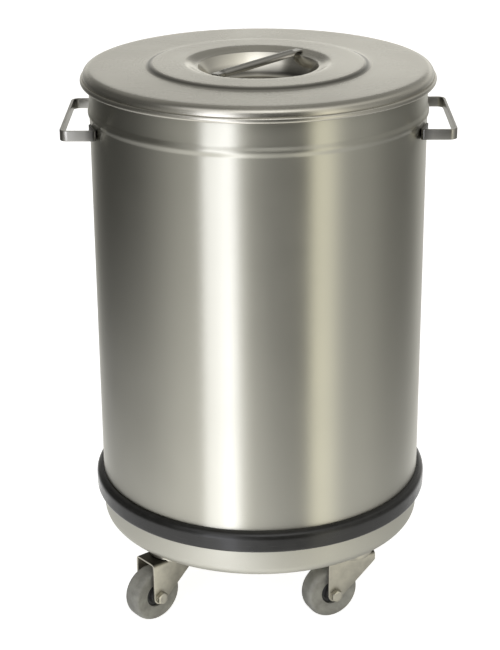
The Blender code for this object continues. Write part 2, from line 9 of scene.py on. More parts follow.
import bmesh
import bpy
import numpy as np
from bpy.props import FloatProperty, FloatVectorProperty, IntProperty, PointerProperty
from mathutils import Matrix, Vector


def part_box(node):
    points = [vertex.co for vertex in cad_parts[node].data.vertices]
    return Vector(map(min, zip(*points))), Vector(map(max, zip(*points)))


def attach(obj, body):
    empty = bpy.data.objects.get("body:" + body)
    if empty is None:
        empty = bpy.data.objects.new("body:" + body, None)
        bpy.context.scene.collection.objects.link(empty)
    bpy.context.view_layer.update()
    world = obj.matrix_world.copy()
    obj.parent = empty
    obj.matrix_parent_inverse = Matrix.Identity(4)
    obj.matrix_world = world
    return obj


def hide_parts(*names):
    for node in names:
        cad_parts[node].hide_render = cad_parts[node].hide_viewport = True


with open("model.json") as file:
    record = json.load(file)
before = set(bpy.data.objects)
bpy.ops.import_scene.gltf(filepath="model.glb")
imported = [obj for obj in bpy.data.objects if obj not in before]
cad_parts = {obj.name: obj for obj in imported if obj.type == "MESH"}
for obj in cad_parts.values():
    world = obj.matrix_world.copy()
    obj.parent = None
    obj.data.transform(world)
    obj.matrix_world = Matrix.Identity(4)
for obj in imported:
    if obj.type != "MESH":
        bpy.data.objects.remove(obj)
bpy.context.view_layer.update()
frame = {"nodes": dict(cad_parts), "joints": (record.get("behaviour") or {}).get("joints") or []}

bl_info = {
    "name": "Wheeled waste bin",
    "version": (1, 0, 0),
    "blender": (4, 5, 0),
    "location": "View3D > Sidebar > Waste bin",
    "description": "Drum, lid, handles, bumper and castors of a wheeled waste bin, with their finishes",
    "category": "Object",
}

PLACES = ("front_left", "front_right", "rear_left", "rear_right")
JOINTS = {joint["name"]: joint for joint in frame["joints"]}

# Corners of the CAD nodes that give sizes below
DRUM_LOW, DRUM_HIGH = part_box("drum_shell")
PAN_LOW, PAN_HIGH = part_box("base_pan")
BUMPER_LOW, BUMPER_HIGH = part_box("bumper_ring")
LID_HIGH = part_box("lid_panel")[1]
STRAP_LOW, STRAP_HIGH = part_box("right_handle")


def count(name, description, default):
    """A number of facets."""
    return IntProperty(name=name, description=description, default=default, min=24, subtype="UNSIGNED")


def length(name, description, default):
    """A size in metres, shown with the scene's length unit."""
    return FloatProperty(name=name, description=description, default=default,
                         min=0.0, precision=4, unit="LENGTH")


def angle(name, description, default):
    """An angle that is given in degrees and kept in radians."""
    return FloatProperty(name=name, description=description, default=radians(default), subtype="ANGLE")


def share(name, description, default):
    """A number from 0 to 1."""
    return FloatProperty(name=name, description=description, default=default,
                         min=0.0, max=1.0, subtype="FACTOR")


def strength(name, description, default):
    """A brightness of 0 or more."""
    return FloatProperty(name=name, description=description, default=default,
                         min=0.0, soft_max=4.0, subtype="FACTOR")


def tint(name, description, default):
    """A linear colour without alpha."""
    return FloatVectorProperty(name=name, description=description, default=default, min=0.0, max=1.0,
                               size=3, subtype="COLOR")


class WasteBinBodySizes(bpy.types.PropertyGroup):
    """Sizes of the drum, its floor, the base pan and the bumper."""
    around: count("Steps round", "Facets round the drum, pan, lid and bumper", 240)
    radius: length("Radius", "Outside of the drum and the base pan", PAN_HIGH.x)
    wall: length("Drum wall", "Sheet of the drum", 0.0012)
    rim_roll: length("Rim roll", "Radius of the rolled rim at the drum's top", 0.0020)
    bead_drop: length("Bead drop", "Rim's top to the middle of the swaged bead", 0.046)
    bead_height: length("Bead height", "Height of the swaged bead", 0.014)
    bead_proud: length("Bead proud", "How far the bead stands out", 0.0019)
    floor_sheet: length("Floor sheet", "Sheet of the drum's floor", 0.0012)
    floor_corner: length("Floor corner", "Bend at the floor's edge", 0.003)
    floor_flange: length("Floor flange", "Turned-down edge of the floor", 0.010)
    dish_depth: length("Dish depth", "Sunk middle of the floor", 0.0025)
    dish_radius: length("Dish radius", "Radius of the sunk middle", 0.140)
    dish_slope: length("Dish slope", "Width of the slope round the sunk middle", 0.006)
    pan_sheet: length("Pan sheet", "Sheet of the base pan", 0.0015)
    pan_corner: length("Pan corner", "Radius of the pan's lower corner", 0.012)
    pan_spigot: length("Pan spigot", "Edge of the pan that stands inside the drum", 0.012)
    bumper_top_round: length("Bumper top", "Height of the bumper's upper shoulder", 0.009)
    bumper_foot_round: length("Bumper foot", "Radius of the bumper's lower edge", 0.0035)
    seat: length("Seat", "Gap between pieces that rest on each other", 0.0003)


class WasteBinLidSizes(bpy.types.PropertyGroup):
    """Sizes of the lid and of the bar across its recess."""
    sheet: length("Sheet", "Sheet of the lid", 0.0012)
    hem: length("Hem", "Half of the rolled hem's width", 0.0020)
    hem_rise: length("Hem rise", "Half of the rolled hem's height", 0.0030)
    skirt: length("Skirt", "Rim of the lid's top to the bottom of the hem", 0.0162)
    shoulder: length("Shoulder", "Radius between the top and the skirt", 0.009)
    plateau_radius: length("Plateau radius", "Middle of the step round the plateau", 0.122)
    plateau_rise: length("Plateau rise", "Height of the step", 0.0028)
    plateau_slope: length("Plateau slope", "Width of the step", 0.010)
    lip_radius: length("Lip radius", "Outer edge of the lip round the recess", 0.0835)
    lip_drop: length("Lip drop", "Plateau to the edge of the bowl", 0.0042)
    recess_radius: length("Recess radius", "Edge of the bowl", 0.068)
    recess_edge: length("Recess edge", "Rounding of the bowl's edge", 0.0015)
    bowl_depth: length("Bowl depth", "Edge of the bowl to its bottom", 0.0255)
    bowl_wall: angle("Bowl wall", "Slope of the bowl's wall", 60)
    bowl_corner: length("Bowl corner", "Radius between the bowl's wall and its flat bottom", 0.013)
    bar: length("Bar", "Diameter of the bar", 0.009)
    bar_rise: length("Bar rise", "Top of the bar above the plateau", 0.0024)
    bar_end: length("Bar end", "Middle of the lid to the end of the round bar", 0.063)
    bar_turn: angle("Bar turn", "Direction of the bar, from +X", 52)
    tab_width: length("Tab width", "Width of the bar's flattened ends", 0.010)
    tab_thickness: length("Tab thickness", "Thickness of the bar's flattened ends", 0.0015)
    tab_reach: length("Tab reach", "Middle of the lid to the end of a tab", 0.077)
    tab_edge: length("Tab edge", "Rounding of a tab's end", 0.0007)


class WasteBinHandleSizes(bpy.types.PropertyGroup):
    """Sizes of the two strap handles."""
    thickness: length("Thickness", "Thickness of the strap", 0.003)
    edge: length("Edge", "Rounded edges of the strap", 0.0006)
    corner: length("Corner", "Inner radius of the strap's corners", 0.0065)
    foot: length("Foot", "Length of the foot that lies on the drum", 0.024)
    foot_bend: length("Foot bend", "Radius of the bend between leg and foot", 0.004)


class WasteBinCastorSizes(bpy.types.PropertyGroup):
    """Sizes of the swivel castors."""
    around: count("Steps round", "Facets round a wheel", 96)
    wheel_radius: length("Wheel radius", "Axle above the floor", JOINTS["roll_front_left"]["pos_m"][2])
    tyre_width: length("Tyre width", "Width of the tyre", 0.023)
    tread_width: length("Tread width", "Straight middle of the tread", 0.011)
    tyre_shoulder: length("Tyre shoulder", "How far the tyre's edge is set in", 0.005)
    tyre_bulge: length("Tyre bulge", "Outer edge of the flank beyond its inner one", 0.0012)
    tyre_bore: length("Tyre bore", "Radius where the tyre meets the hub", 0.0148)
    hub_width: length("Hub width", "Length of the hub's boss", 0.0265)
    hub_recess: length("Hub recess", "Edge of the hub set in from the tyre's side", 0.0045)
    boss_radius: length("Boss radius", "Radius of the hub's boss", 0.0094)
    sleeve_radius: length("Sleeve radius", "Radius of the axle's sleeve", 0.006)
    axle_radius: length("Axle radius", "Radius of the axle bolt", 0.004)
    axle_flats: length("Axle flats", "Axle bolt's head across flats", 0.013)
    axle_head: length("Axle head", "Height of the axle bolt's head", 0.0053)
    axle_nut: length("Axle nut", "Height of the axle's nut", 0.0065)
    axle_tip: length("Axle tip", "Thread beyond the nut", 0.002)
    fork_sheet: length("Fork sheet", "Sheet of the fork", 0.0025)
    fork_gap: length("Fork gap", "Side of the tyre to the leg", 0.003)
    fork_bend: length("Fork bend", "Outer radius between leg and crown", 0.005)
    fork_tip: length("Fork tip", "Radius of the leg round the axle", 0.009)
    fork_nose: length("Fork nose", "Crown ahead of the swivel axis", 0.024)
    nose_depth: length("Nose depth", "Depth of the leg at the nose", 0.011)
    crown_gap: length("Crown gap", "Top of the tyre to the crown", 0.010)
    crown_radius: length("Crown radius", "Radius of the race disc on the crown", 0.023)
    crown_step: length("Crown step", "Race disc proud of the crown's sheet", 0.0006)
    bolt_radius: length("Bolt radius", "Radius of the swivel bolt", 0.005)
    bolt_flats: length("Bolt flats", "Swivel bolt's head across flats", 0.016)
    bolt_head: length("Bolt head", "Height of the swivel bolt's head", 0.0064)


class WasteBinFinishes(bpy.types.PropertyGroup):
    """Colours and gloss of the bin's finishes."""
    drum: tint("Drum", "Satin stainless of the drum", (0.50, 0.49, 0.43))
    drum_roughness: share("Drum roughness", "Roughness of the satin drum", 0.31)
    lid: tint("Lid", "Satin stainless of the lid", (0.56, 0.54, 0.48))
    lid_roughness: share("Lid roughness", "Roughness of the lid", 0.27)
    pan: tint("Base pan", "Matt pressed steel of the pan", (0.51, 0.50, 0.44))
    pan_roughness: share("Pan roughness", "Roughness of the pan", 0.50)
    strap: tint("Handles", "Brushed steel of handles and bar", (0.44, 0.43, 0.40))
    strap_roughness: share("Handle roughness", "Roughness of handles and bar", 0.30)
    bumper: tint("Bumper", "Black rubber of the bumper", (0.013, 0.0126, 0.0115))
    tyre: tint("Tyres", "Grey rubber of the tyres", (0.285, 0.28, 0.248))
    hub: tint("Hubs", "Dark plastic of the hubs", (0.025, 0.025, 0.024))
    zinc: tint("Zinc", "Zinc plate of forks and fasteners", (0.47, 0.45, 0.38))
    race: tint("Race", "Steel of the ball rings", (0.40, 0.40, 0.40))


class WasteBinStage(bpy.types.PropertyGroup):
    """Camera, floor and light."""
    distance: length("Camera distance", "Camera in front of the bin's axis", 1.9)
    height: length("Camera height", "Camera above the floor", 1.0765)
    tilt: angle("Camera tilt", "Camera's turn about X, 90 degrees being level", 68.3)
    roll: angle("Camera roll", "Camera's turn about its own view", -0.28)
    lens: FloatProperty(name="Lens", description="Focal length in millimetres", default=95.6, unit="CAMERA")
    shift: FloatProperty(name="Shift", description="Sideways shift of the frame",
                         default=-0.01455, subtype="FACTOR")
    floor: tint("Floor", "Pale floor", (0.92, 0.92, 0.91))
    floor_glow: strength("Floor glow", "Light that the floor gives by itself", 0.78)
    reflection: strength("Floor reflection", "Brightness of the floor mirrored in the drum's foot", 1.05)
    surround: strength("Surrounding light", "Strength of the light from the studio's walls", 1.0)


# Points closer than MERGED are one point, edges shorter than FLAT go, and bends steeper than SHARP stay sharp
MERGED, FLAT, SHARP = 1e-7, 1e-8, radians(35)
# Points closer to the axis than this are on it
ON_AXIS = 1e-9
X_AXIS, Y_AXIS, Z_AXIS = (1.0, 0.0, 0.0), (0.0, 1.0, 0.0), (0.0, 0.0, 1.0)


# Lines and profiles as arrays of (radius, height) points

def arc(centre, across, up, start, end, steps):
    """Ellipse: centre + (across * cos a, up * sin a), with the angle a even from start to end in degrees."""
    a = np.radians(np.linspace(start, end, steps + 1))
    return np.stack([centre[0] + across * np.cos(a), centre[1] + up * np.sin(a)], 1)


def wave(start, end, steps):
    """Smooth step: even in the first direction, (1 - cos(pi t)) / 2 in the second, so both ends are level."""
    t = np.linspace(0, 1, steps + 1)
    lift = (1 - np.cos(pi * t)) / 2
    return np.stack([start[0] + (end[0] - start[0]) * t, start[1] + (end[1] - start[1]) * lift], 1)


def straight(start, end, steps):
    """Even points on the line from start to end, both included."""
    t = np.linspace(0, 1, steps + 1)[:, None]
    return np.asarray(start) * (1 - t) + np.asarray(end) * t


def run(*lines):
    """Lines joined end to end, without points that repeat the one before."""
    points = np.concatenate([np.atleast_2d(np.asarray(line, float)) for line in lines])
    keep = np.concatenate([[True], np.hypot(*np.diff(points, axis=0).T) > MERGED])
    return points[keep]


def offset(line, distance):
    """The line moved to its right along the mitre of each point's two edges; axis points stay on it."""
    edge = np.diff(line, axis=0)
    normal = np.stack([edge[:, 1], -edge[:, 0]], 1) / np.hypot(*edge.T)[:, None]
    both = np.concatenate([normal[:1], normal]) + np.concatenate([normal, normal[-1:]])
    moved = line + both * (2 * distance / (both ** 2).sum(1))[:, None]
    moved[np.abs(line[:, 0]) < ON_AXIS, 0] = 0.0
    return moved


def reach(points):
    """Distance along a line of points, from 0 at its first one."""
    return np.concatenate([[0.0], np.cumsum(np.linalg.norm(np.diff(points, axis=0), axis=1))])


def headings(line):
    """Unit direction of a line at each of its points."""
    along = np.gradient(line, axis=0)
    return along / np.linalg.norm(along, axis=1)[:, None]


# Grids of points: rows along the first parameter, columns along the second

def turned(profile, around, closed=False):
    """Surface of revolution: (r cos a, r sin a, z) for each profile point (r, z) and angle a of a turn."""
    line = np.concatenate([profile, profile[:1]]) if closed else profile
    a = np.linspace(0, 2 * pi, around + 1)
    grid = np.empty((len(line), around + 1, 3))
    grid[..., 0] = line[:, :1] * np.cos(a)
    grid[..., 1] = line[:, :1] * np.sin(a)
    grid[..., 2] = line[:, 1:]
    uv = np.empty((len(line), around + 1, 2))
    uv[..., 0] = np.linspace(0, 1, around + 1)
    uv[..., 1] = reach(line)[:, None]
    return grid, uv


def swept(middle, across, up, sections):
    """Loft: middle + across * p + up * q in each row's own frame, for the points (p, q) of its section."""
    closed = np.concatenate([sections, sections[:, :1]], 1)
    across, up = (np.broadcast_to(way, middle.shape)[:, None] for way in (across, up))
    grid = middle[:, None] + across * closed[..., :1] + up * closed[..., 1:]
    uv = np.empty(grid.shape[:2] + (2,))
    uv[..., 0] = reach(middle)[:, None]
    uv[..., 1] = reach(closed.mean(0))
    return grid, uv


def rounded_rectangle(width, height, edge, steps=4):
    """Corner arcs of radius edge round a rectangle centred on the origin, counter-clockwise."""
    w, h = width / 2 - edge, height / 2 - edge
    return np.concatenate([arc((x, y), edge, edge, turn, turn + 90, steps)
                           for x, y, turn in ((w, h, 0), (-w, h, 90), (-w, -h, 180), (w, -h, 270))])


def turn_z(points, turn, place=(0.0, 0.0, 0.0)):
    """Points turned about Z by an angle and then moved to a place."""
    c, s = cos(turn), sin(turn)
    return points @ np.array([[c, s, 0], [-s, c, 0], [0, 0, 1]]) + np.asarray(place)


def closed_ends(grid, uv):
    """The grid with a row at each end drawn together to the middle of that end, which closes the tube."""
    first, last = (np.broadcast_to(row.mean(0), row.shape)[None] for row in (grid[0], grid[-1]))
    return np.concatenate([first, grid, last]), np.concatenate([uv[:1], uv, uv[-1:]])


def make(name, surface, material, body, node):
    """One closed object from a grid: quads between neighbours, meeting points merged, faces outwards."""
    grid, uv = surface
    rows, columns = grid.shape[:2]
    index = np.arange(rows * columns).reshape(rows, columns)
    quads = np.stack([index[:-1, :-1], index[:-1, 1:], index[1:, 1:], index[1:, :-1]], -1).reshape(-1, 4)
    mesh = bpy.data.meshes.new(name)
    mesh.from_pydata(grid.reshape(-1, 3), [], quads.tolist())
    corners = uv.reshape(-1, 2)[quads.ravel()]
    mesh.uv_layers.new(name="UVMap").data.foreach_set("uv", corners.astype(np.float32).ravel())
    shape = bmesh.new()
    shape.from_mesh(mesh)
    bmesh.ops.remove_doubles(shape, verts=shape.verts, dist=MERGED)
    bmesh.ops.dissolve_degenerate(shape, edges=shape.edges, dist=FLAT)
    bmesh.ops.recalc_face_normals(shape, faces=shape.faces)
    loose = [edge for edge in shape.edges if len(edge.link_faces) != 2]
    if loose:
        raise RuntimeError(f"{name} isn't closed: {len(loose)} edges don't have two faces")
    shape.to_mesh(mesh)
    shape.free()
    mesh.shade_smooth()
    mesh.set_sharp_from_angle(angle=SHARP)
    mesh.materials.append(material)
    piece = bpy.data.objects.new(name, mesh)
    bpy.context.scene.collection.objects.link(piece)
    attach(piece, body)
    if node:
        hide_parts(node)


def repaint(node, material):
    """Give a CAD node that stays in view a finish of the scene."""
    mesh = frame["nodes"][node].data
    mesh.materials.clear()
    mesh.materials.append(material)


# Finishes

# Greatest relief of a finish in metres, and the range that most of a noise lies in
RELIEF = 0.0002
NOISE = (0.3, 0.7)


class Nodes:
    """Shader nodes of a material or world, with short calls for the kinds that are used here."""

    def __init__(self, owner):
        owner.use_nodes = True
        self.nodes, self.links = owner.node_tree.nodes, owner.node_tree.links
        self.place = self.nodes.new("ShaderNodeTexCoord").outputs

    def link(self, source, target):
        """Join an output to an input."""
        self.links.new(source, target)

    def put(self, value, target):
        """Link a socket to another one, or set it to a number or colour."""
        if isinstance(value, bpy.types.NodeSocket):
            self.link(value, target)
        else:
            target.default_value = value

    def maths(self, kind, first, second=0.0):
        """A number worked out from one or two others."""
        node = self.nodes.new("ShaderNodeMath")
        node.operation = kind
        self.put(first, node.inputs[0])
        self.put(second, node.inputs[1])
        return node.outputs[0]

    def plus(self, first, second):
        """Sum of two numbers."""
        return self.maths("ADD", first, second)

    def times(self, first, second):
        """Product of two numbers."""
        return self.maths("MULTIPLY", first, second)

    def ranged(self, value, low, high, new_low=0.0, new_high=1.0, smooth=False):
        """A value's range from low to high stretched to a new one, and held beyond it."""
        node = self.nodes.new("ShaderNodeMapRange")
        if smooth:
            node.interpolation_type = "SMOOTHSTEP"
        for socket, number in zip(node.inputs[1:5], (low, high, new_low, new_high)):
            socket.default_value = number
        self.link(value, node.inputs[0])
        return node.outputs[0]

    def mixed(self, amount, first, second):
        """Colour from first to second by an amount."""
        node = self.nodes.new("ShaderNodeMix")
        node.data_type = "RGBA"
        self.link(amount, node.inputs[0])
        self.put(first, node.inputs[6])
        self.put(second, node.inputs[7])
        return node.outputs[2]

    def apart(self, vector):
        """The three parts of a vector."""
        node = self.nodes.new("ShaderNodeSeparateXYZ")
        self.link(vector, node.inputs[0])
        return tuple(node.outputs)

    def size_of(self, vector):
        """Length of a vector."""
        node = self.nodes.new("ShaderNodeVectorMath")
        node.operation = "LENGTH"
        self.link(vector, node.inputs[0])
        return node.outputs["Value"]


class Finish(Nodes):
    """Nodes of one material round its main shader."""

    def __init__(self, name, metallic=0.0):
        self.material = bpy.data.materials.new(name)
        super().__init__(self.material)
        self.shader = self.nodes["Principled BSDF"].inputs
        self.give("Metallic", metallic)

    def give(self, name, value):
        """Set or link an input of the main shader."""
        self.put(value, self.shader[name])

    def stretched(self, scale, kind="UV"):
        """Coordinates multiplied by a scale for each direction."""
        mapping = self.nodes.new("ShaderNodeMapping")
        mapping.inputs["Scale"].default_value = scale
        self.link(self.place[kind], mapping.inputs["Vector"])
        return mapping.outputs["Vector"]

    def noise(self, vector, scale, detail, roughness):
        """Soft noise from 0 to 1 over a vector."""
        node = self.nodes.new("ShaderNodeTexNoise")
        for name, number in (("Scale", scale), ("Detail", detail), ("Roughness", roughness)):
            node.inputs[name].default_value = number
        self.link(vector, node.inputs["Vector"])
        return node.outputs["Fac"]

    def blended(self, first, second, share_of_first):
        """Sum of two numbers, the first by its share and the second by what is left."""
        return self.plus(self.times(first, share_of_first), self.times(second, 1 - share_of_first))

    def spread(self, noise, middle, less, more):
        """A number that a noise moves about its middle, from less below it to more above it."""
        return self.ranged(noise, *NOISE, middle - less, middle + more)

    def toned(self, amount, colour, dark, light):
        """Colour between a darker and a lighter shade of itself by an amount."""
        return self.mixed(amount, shaded(colour, dark), shaded(colour, light))

    def from_axis(self):
        """Distance from the object's Z axis."""
        return self.size_of(self.stretched((1, 1, 0), "Object"))

    def relief(self, height, depth):
        """Bump from a height of 0 to 1, with its depth as a share of the greatest relief."""
        bump = self.nodes.new("ShaderNodeBump")
        bump.inputs["Strength"].default_value = depth
        bump.inputs["Distance"].default_value = RELIEF
        self.link(height, bump.inputs["Height"])
        self.give("Normal", bump.outputs["Normal"])

    def grain(self, amount, turn):
        """Stretched highlight: the tangent follows the piece's UV map."""
        tangent = self.nodes.new("ShaderNodeTangent")
        tangent.direction_type = "UV_MAP"
        tangent.uv_map = "UVMap"
        self.give("Tangent", tangent.outputs["Tangent"])
        self.give("Anisotropic", amount)
        self.give("Anisotropic Rotation", turn)


# Brush lines over the UV map, stretch of the highlight along them and its turn
DRUM_BRUSH = {"lines": (6, 9000, 1), "grain": 0.97, "turn": 0.25}
LID_BRUSH = {"lines": (3, 7000, 1), "grain": 0.35, "turn": 0.25}
BAR_BRUSH = {"lines": (300, 3000, 1), "grain": 0.2, "turn": 0.0}
STRAP_BRUSH = {"lines": (300, 6000, 1), "grain": 0.4, "turn": 0.0}
# Rings of painted shade on the lid, from the bowl's edge and from the middle of the step: four places, and
# their shades
BOWL_SHADE_RING, STEP_SHADE_RING = (-0.0155, -0.0125, -0.0115, -0.0065), (-0.0045, -0.0005, 0.0005, 0.0045)
BOWL_SHADE, STEP_SHADE = 0.34, 0.36
# Ground weld of the drum: its place and half of its width as shares of the turn
DRUM_SEAM = (0.25, 0.0016)
# Shades of steel for painted shade at a strap's ends, for polish, lighter as painted light, and for a weld,
# and what polish and the rings of painted shade add to its roughness
END_SHADE, POLISH_PAINTED_LIGHT, WELD_SHADE = 0.30, 1.22, 0.72
POLISH_ROUGHNESS, SHADE_RING_ROUGHNESS = -0.13, 0.08
# How much of a weld's colour shows, and its height among the brush lines
WELD_COVER, WELD_HEIGHT = 0.6, 2.0
# Dust and scuffs on rubber: where they show in their noise, and shade, cover and roughness of scuffs
DUST, SCUFF = (0.35, 0.75), (0.55, 0.70)
SCUFF_SHADE, SCUFF_COVER, SCUFF_ROUGHNESS = 3.2, 0.5, 0.12
# Roughness of the smooth sheen on rubber
SHEEN_ROUGHNESS = 0.10
# Painted shade on zinc faces that point up, as under the pan: how far upwards a face has to point, and its
# shade
TOP_SHADE_RISE, TOP_SHADE = (0.3, 0.8), 0.14


def shaded(colour, by):
    """A colour made lighter or darker by a factor, with alpha."""
    return (*(min(1.0, channel * by) for channel in colour), 1.0)


def brushed_steel(name, colour, roughness, lines, grain, turn,
                  shaded_ends=None, polished=None, shade_rings=(), seam=None):
    """Stainless with fine brush lines along one direction of the UV map, clouded polish and long highlights.

    A strap of a given length has ends darkened with painted shade where they meet the drum, which reach
    from one distance to another from each end.
    A polished middle is smoother and, as painted light, brighter, fading from one radius about Z out to
    another.
    Rings of painted shade about Z are darker and duller: each has four radii, rises over the first two and
    fades over the others, and a shade of the colour.
    A seam is a ground weld at one turn of the UV map, with half of its width as a share of the turn.
    """
    finish, soft = Finish(name, metallic=1.0), 0.02
    fine = finish.noise(finish.stretched(lines), scale=1.0, detail=4.0, roughness=0.6)
    cloud = finish.noise(finish.place["Object"], scale=14.0, detail=3.0, roughness=0.5)
    steel = finish.toned(finish.blended(fine, cloud, 0.6), colour, dark=0.90, light=1.10)
    dull = finish.plus(finish.spread(cloud, roughness, soft, soft),
                       finish.spread(fine, 0.0, soft / 2, soft / 2))
    height = fine
    # Painted shade: a strap's ends are darker where they meet the drum.
    if shaded_ends:
        long, shade_full_at, shade_gone_at = shaded_ends
        from_end = finish.maths("PINGPONG", finish.apart(finish.place["UV"])[0], long / 2)
        end_shade_mask = finish.ranged(from_end, shade_full_at, shade_gone_at, 1.0, 0.0)
        steel = finish.mixed(end_shade_mask, steel, shaded(colour, END_SHADE))
    # Polish: smoother, and lighter in colour as painted light.
    if polished:
        bright = finish.ranged(finish.from_axis(), *polished, 1.0, 0.0)
        steel = finish.mixed(bright, steel, shaded(colour, POLISH_PAINTED_LIGHT))
        dull = finish.plus(dull, finish.times(bright, POLISH_ROUGHNESS))
    # Rings of painted shade: darker and duller about Z.
    for (rise, full, fade, gone), shade in shade_rings:
        away = finish.from_axis()
        ring = finish.times(finish.ranged(away, rise, full), finish.ranged(away, fade, gone, 1.0, 0.0))
        steel = finish.mixed(ring, steel, shaded(colour, shade))
        dull = finish.plus(dull, finish.times(ring, SHADE_RING_ROUGHNESS))
    if seam:
        middle, half = seam
        off = finish.maths("ABSOLUTE", finish.plus(finish.apart(finish.place["UV"])[0], -middle))
        weld = finish.ranged(off, half / 2, half, 1.0, 0.0)
        steel = finish.mixed(finish.times(weld, WELD_COVER), steel, shaded(colour, WELD_SHADE))
        height = finish.plus(fine, finish.times(weld, WELD_HEIGHT))
    finish.give("Base Color", steel)
    finish.give("Roughness", dull)
    finish.relief(height, depth=0.06)
    finish.grain(grain, turn)
    return finish.material


def matt_steel(name, colour, roughness, metallic):
    """Blasted steel: fine speckle in colour and relief, wide faint clouds."""
    finish = Finish(name, metallic)
    speckle = finish.noise(finish.place["Object"], scale=900.0, detail=2.0, roughness=0.6)
    cloud = finish.noise(finish.place["Object"], scale=18.0, detail=3.0, roughness=0.55)
    steel = finish.toned(finish.blended(speckle, cloud, 0.4), colour, dark=0.88, light=1.10)
    finish.give("Base Color", steel)
    finish.give("Roughness", finish.spread(cloud, roughness, less=0.05, more=0.05))
    finish.relief(speckle, depth=0.15)
    return finish.material


def moulded_rubber(name, colour, roughness, scuffs=None, sheen=0.0):
    """Rubber: fine pores, dusty lighter patches and duller worn places, under a thin smooth sheen.

    Scuffs are pale streaks along the UV map.
    """
    finish = Finish(name)
    pores = finish.noise(finish.place["Object"], scale=1400.0, detail=2.0, roughness=0.6)
    dust = finish.noise(finish.place["Object"], scale=55.0, detail=4.0, roughness=0.6)
    rubber = finish.toned(finish.ranged(dust, *DUST), colour, dark=0.85, light=1.5)
    dull = finish.spread(dust, roughness, less=0.08, more=0.10)
    if scuffs:
        streaks = finish.noise(finish.stretched(scuffs), scale=1.0, detail=4.0, roughness=0.65)
        scuff = finish.ranged(streaks, *SCUFF)
        rubber = finish.mixed(finish.times(scuff, SCUFF_COVER), rubber, shaded(colour, SCUFF_SHADE))
        dull = finish.plus(dull, finish.times(scuff, SCUFF_ROUGHNESS))
    finish.give("Base Color", rubber)
    finish.give("Roughness", dull)
    finish.relief(pores, depth=0.2)
    finish.give("Specular IOR Level", 0.5 - sheen / 2)
    finish.give("Coat Weight", sheen)
    finish.give("Coat Roughness", SHEEN_ROUGHNESS)
    return finish.material


def zinc_plate(name, colour, roughness, shaded_tops=False):
    """Zinc on pressed steel: soft blotches of tone and gloss, fine grain; painted shade darkens what faces up,
    as under the pan.
    """
    finish = Finish(name, metallic=1.0)
    blotch = finish.noise(finish.place["Object"], scale=70.0, detail=4.0, roughness=0.6)
    fine = finish.noise(finish.place["Object"], scale=700.0, detail=2.0, roughness=0.6)
    plate = finish.toned(finish.ranged(blotch, *NOISE), colour, dark=0.82, light=1.12)
    # Painted shade: faces that point up, as under the pan, are darker.
    if shaded_tops:
        normal = finish.nodes.new("ShaderNodeNewGeometry").outputs["Normal"]
        facing_up_shade = finish.ranged(finish.apart(normal)[2], *TOP_SHADE_RISE)
        plate = finish.mixed(facing_up_shade, plate, shaded(colour, TOP_SHADE))
    finish.give("Base Color", plate)
    finish.give("Roughness", finish.spread(blotch, roughness, less=0.07, more=0.09))
    finish.relief(fine, depth=0.12)
    return finish.material


# Drum, base and bumper

def drum_profile(size):
    """Closed profile: wall, rolled rim and wall again; its bead is the square of a sine over its height."""
    low, top, roll = DRUM_LOW.z, DRUM_HIGH.z, size.rim_roll
    inside = size.radius - size.wall
    meets = degrees(acos((size.wall - roll) / roll))
    rim = arc((inside + roll, top - roll), roll, roll, 180, -meets, 16)
    t = np.linspace(0, 1, 25)
    bead = np.stack([size.bead_proud * np.sin(pi * t) ** 2,
                     top - size.bead_drop + size.bead_height * (0.5 - t)], 1)
    outer, inner = bead + (size.radius, 0), bead[::-1] + (inside, 0)
    return run(rim, straight(rim[-1], outer[0], 4), outer, straight(outer[-1], (size.radius, low), 12),
               straight((inside, low), inner[0], 12), inner, straight(inner[-1], rim[0], 4)[:-1])


def floor_profile(size):
    """Dished disc: a smooth step round its sunk middle, and a turned-down flange inside the drum's foot."""
    low = PAN_HIGH.z + size.seat
    top, corner = low + size.floor_sheet, size.floor_corner
    flange, sunk = size.radius - size.wall - size.seat, top - size.dish_depth
    bend = arc((flange - corner, top - corner), corner, corner, 90, 0, 8)
    dish = wave((size.dish_radius, sunk), (size.dish_radius + size.dish_slope, top), 8)
    line = run(straight((0, sunk), dish[0], 10), dish, straight(dish[-1], bend[0], 4), bend,
               [(flange, low - size.floor_flange)])
    return run(line, offset(line, size.floor_sheet)[::-1])


def pan_profile(size):
    """Sheet from a spigot inside the drum out to the pan's wall, down a round corner and in to the axis."""
    low, top, corner = PAN_LOW.z, PAN_HIGH.z, size.pan_corner
    shoulder = (size.radius, top - size.pan_spigot)
    spigot = size.radius - size.wall - 2 * size.seat - size.floor_corner
    bend = arc((size.radius - corner, low + corner), corner, corner, 0, -90, 16)
    line = run([(spigot, top), (spigot, shoulder[1])], straight(shoulder, bend[0], 6), bend,
               straight(bend[-1], (0, low), 12))
    return run(offset(line, size.pan_sheet)[::-1], line)


def bumper_profile(size):
    """Closed profile: elliptic upper shoulder, outer face, round lower edge, foot and face on the drum."""
    inside, outside = size.radius + size.seat, BUMPER_HIGH.x
    foot, top = BUMPER_LOW.z, BUMPER_HIGH.z
    fall, edge = size.bumper_top_round, size.bumper_foot_round
    shoulder = arc((inside, top - fall), outside - inside, fall, 90, 0, 16)
    heel = arc((outside - edge, foot + edge), edge, edge, 0, -90, 10)
    return run(shoulder, straight(shoulder[-1], heel[0], 4), heel, straight(heel[-1], (inside, foot), 2),
               straight((inside, foot), shoulder[0], 6)[:-1])


class WASTEBIN_OT_drum(bpy.types.Operator):
    """Rolled drum with its rim and bead, and the dished floor inside it"""
    bl_idname = "wastebin.drum"
    bl_label = "Drum"

    def execute(self, context):
        size, finish = context.scene.wastebin_body, context.scene.wastebin_finishes
        satin = brushed_steel("satin_drum_steel", finish.drum, finish.drum_roughness, **DRUM_BRUSH,
                              seam=DRUM_SEAM)
        drum = turned(drum_profile(size), size.around, closed=True)
        floor = turned(floor_profile(size), size.around)
        make("drum_skin", drum, satin, "bin", "drum_shell")
        make("drum_bottom_sheet", floor, satin, "bin", "drum_floor")
        return {"FINISHED"}


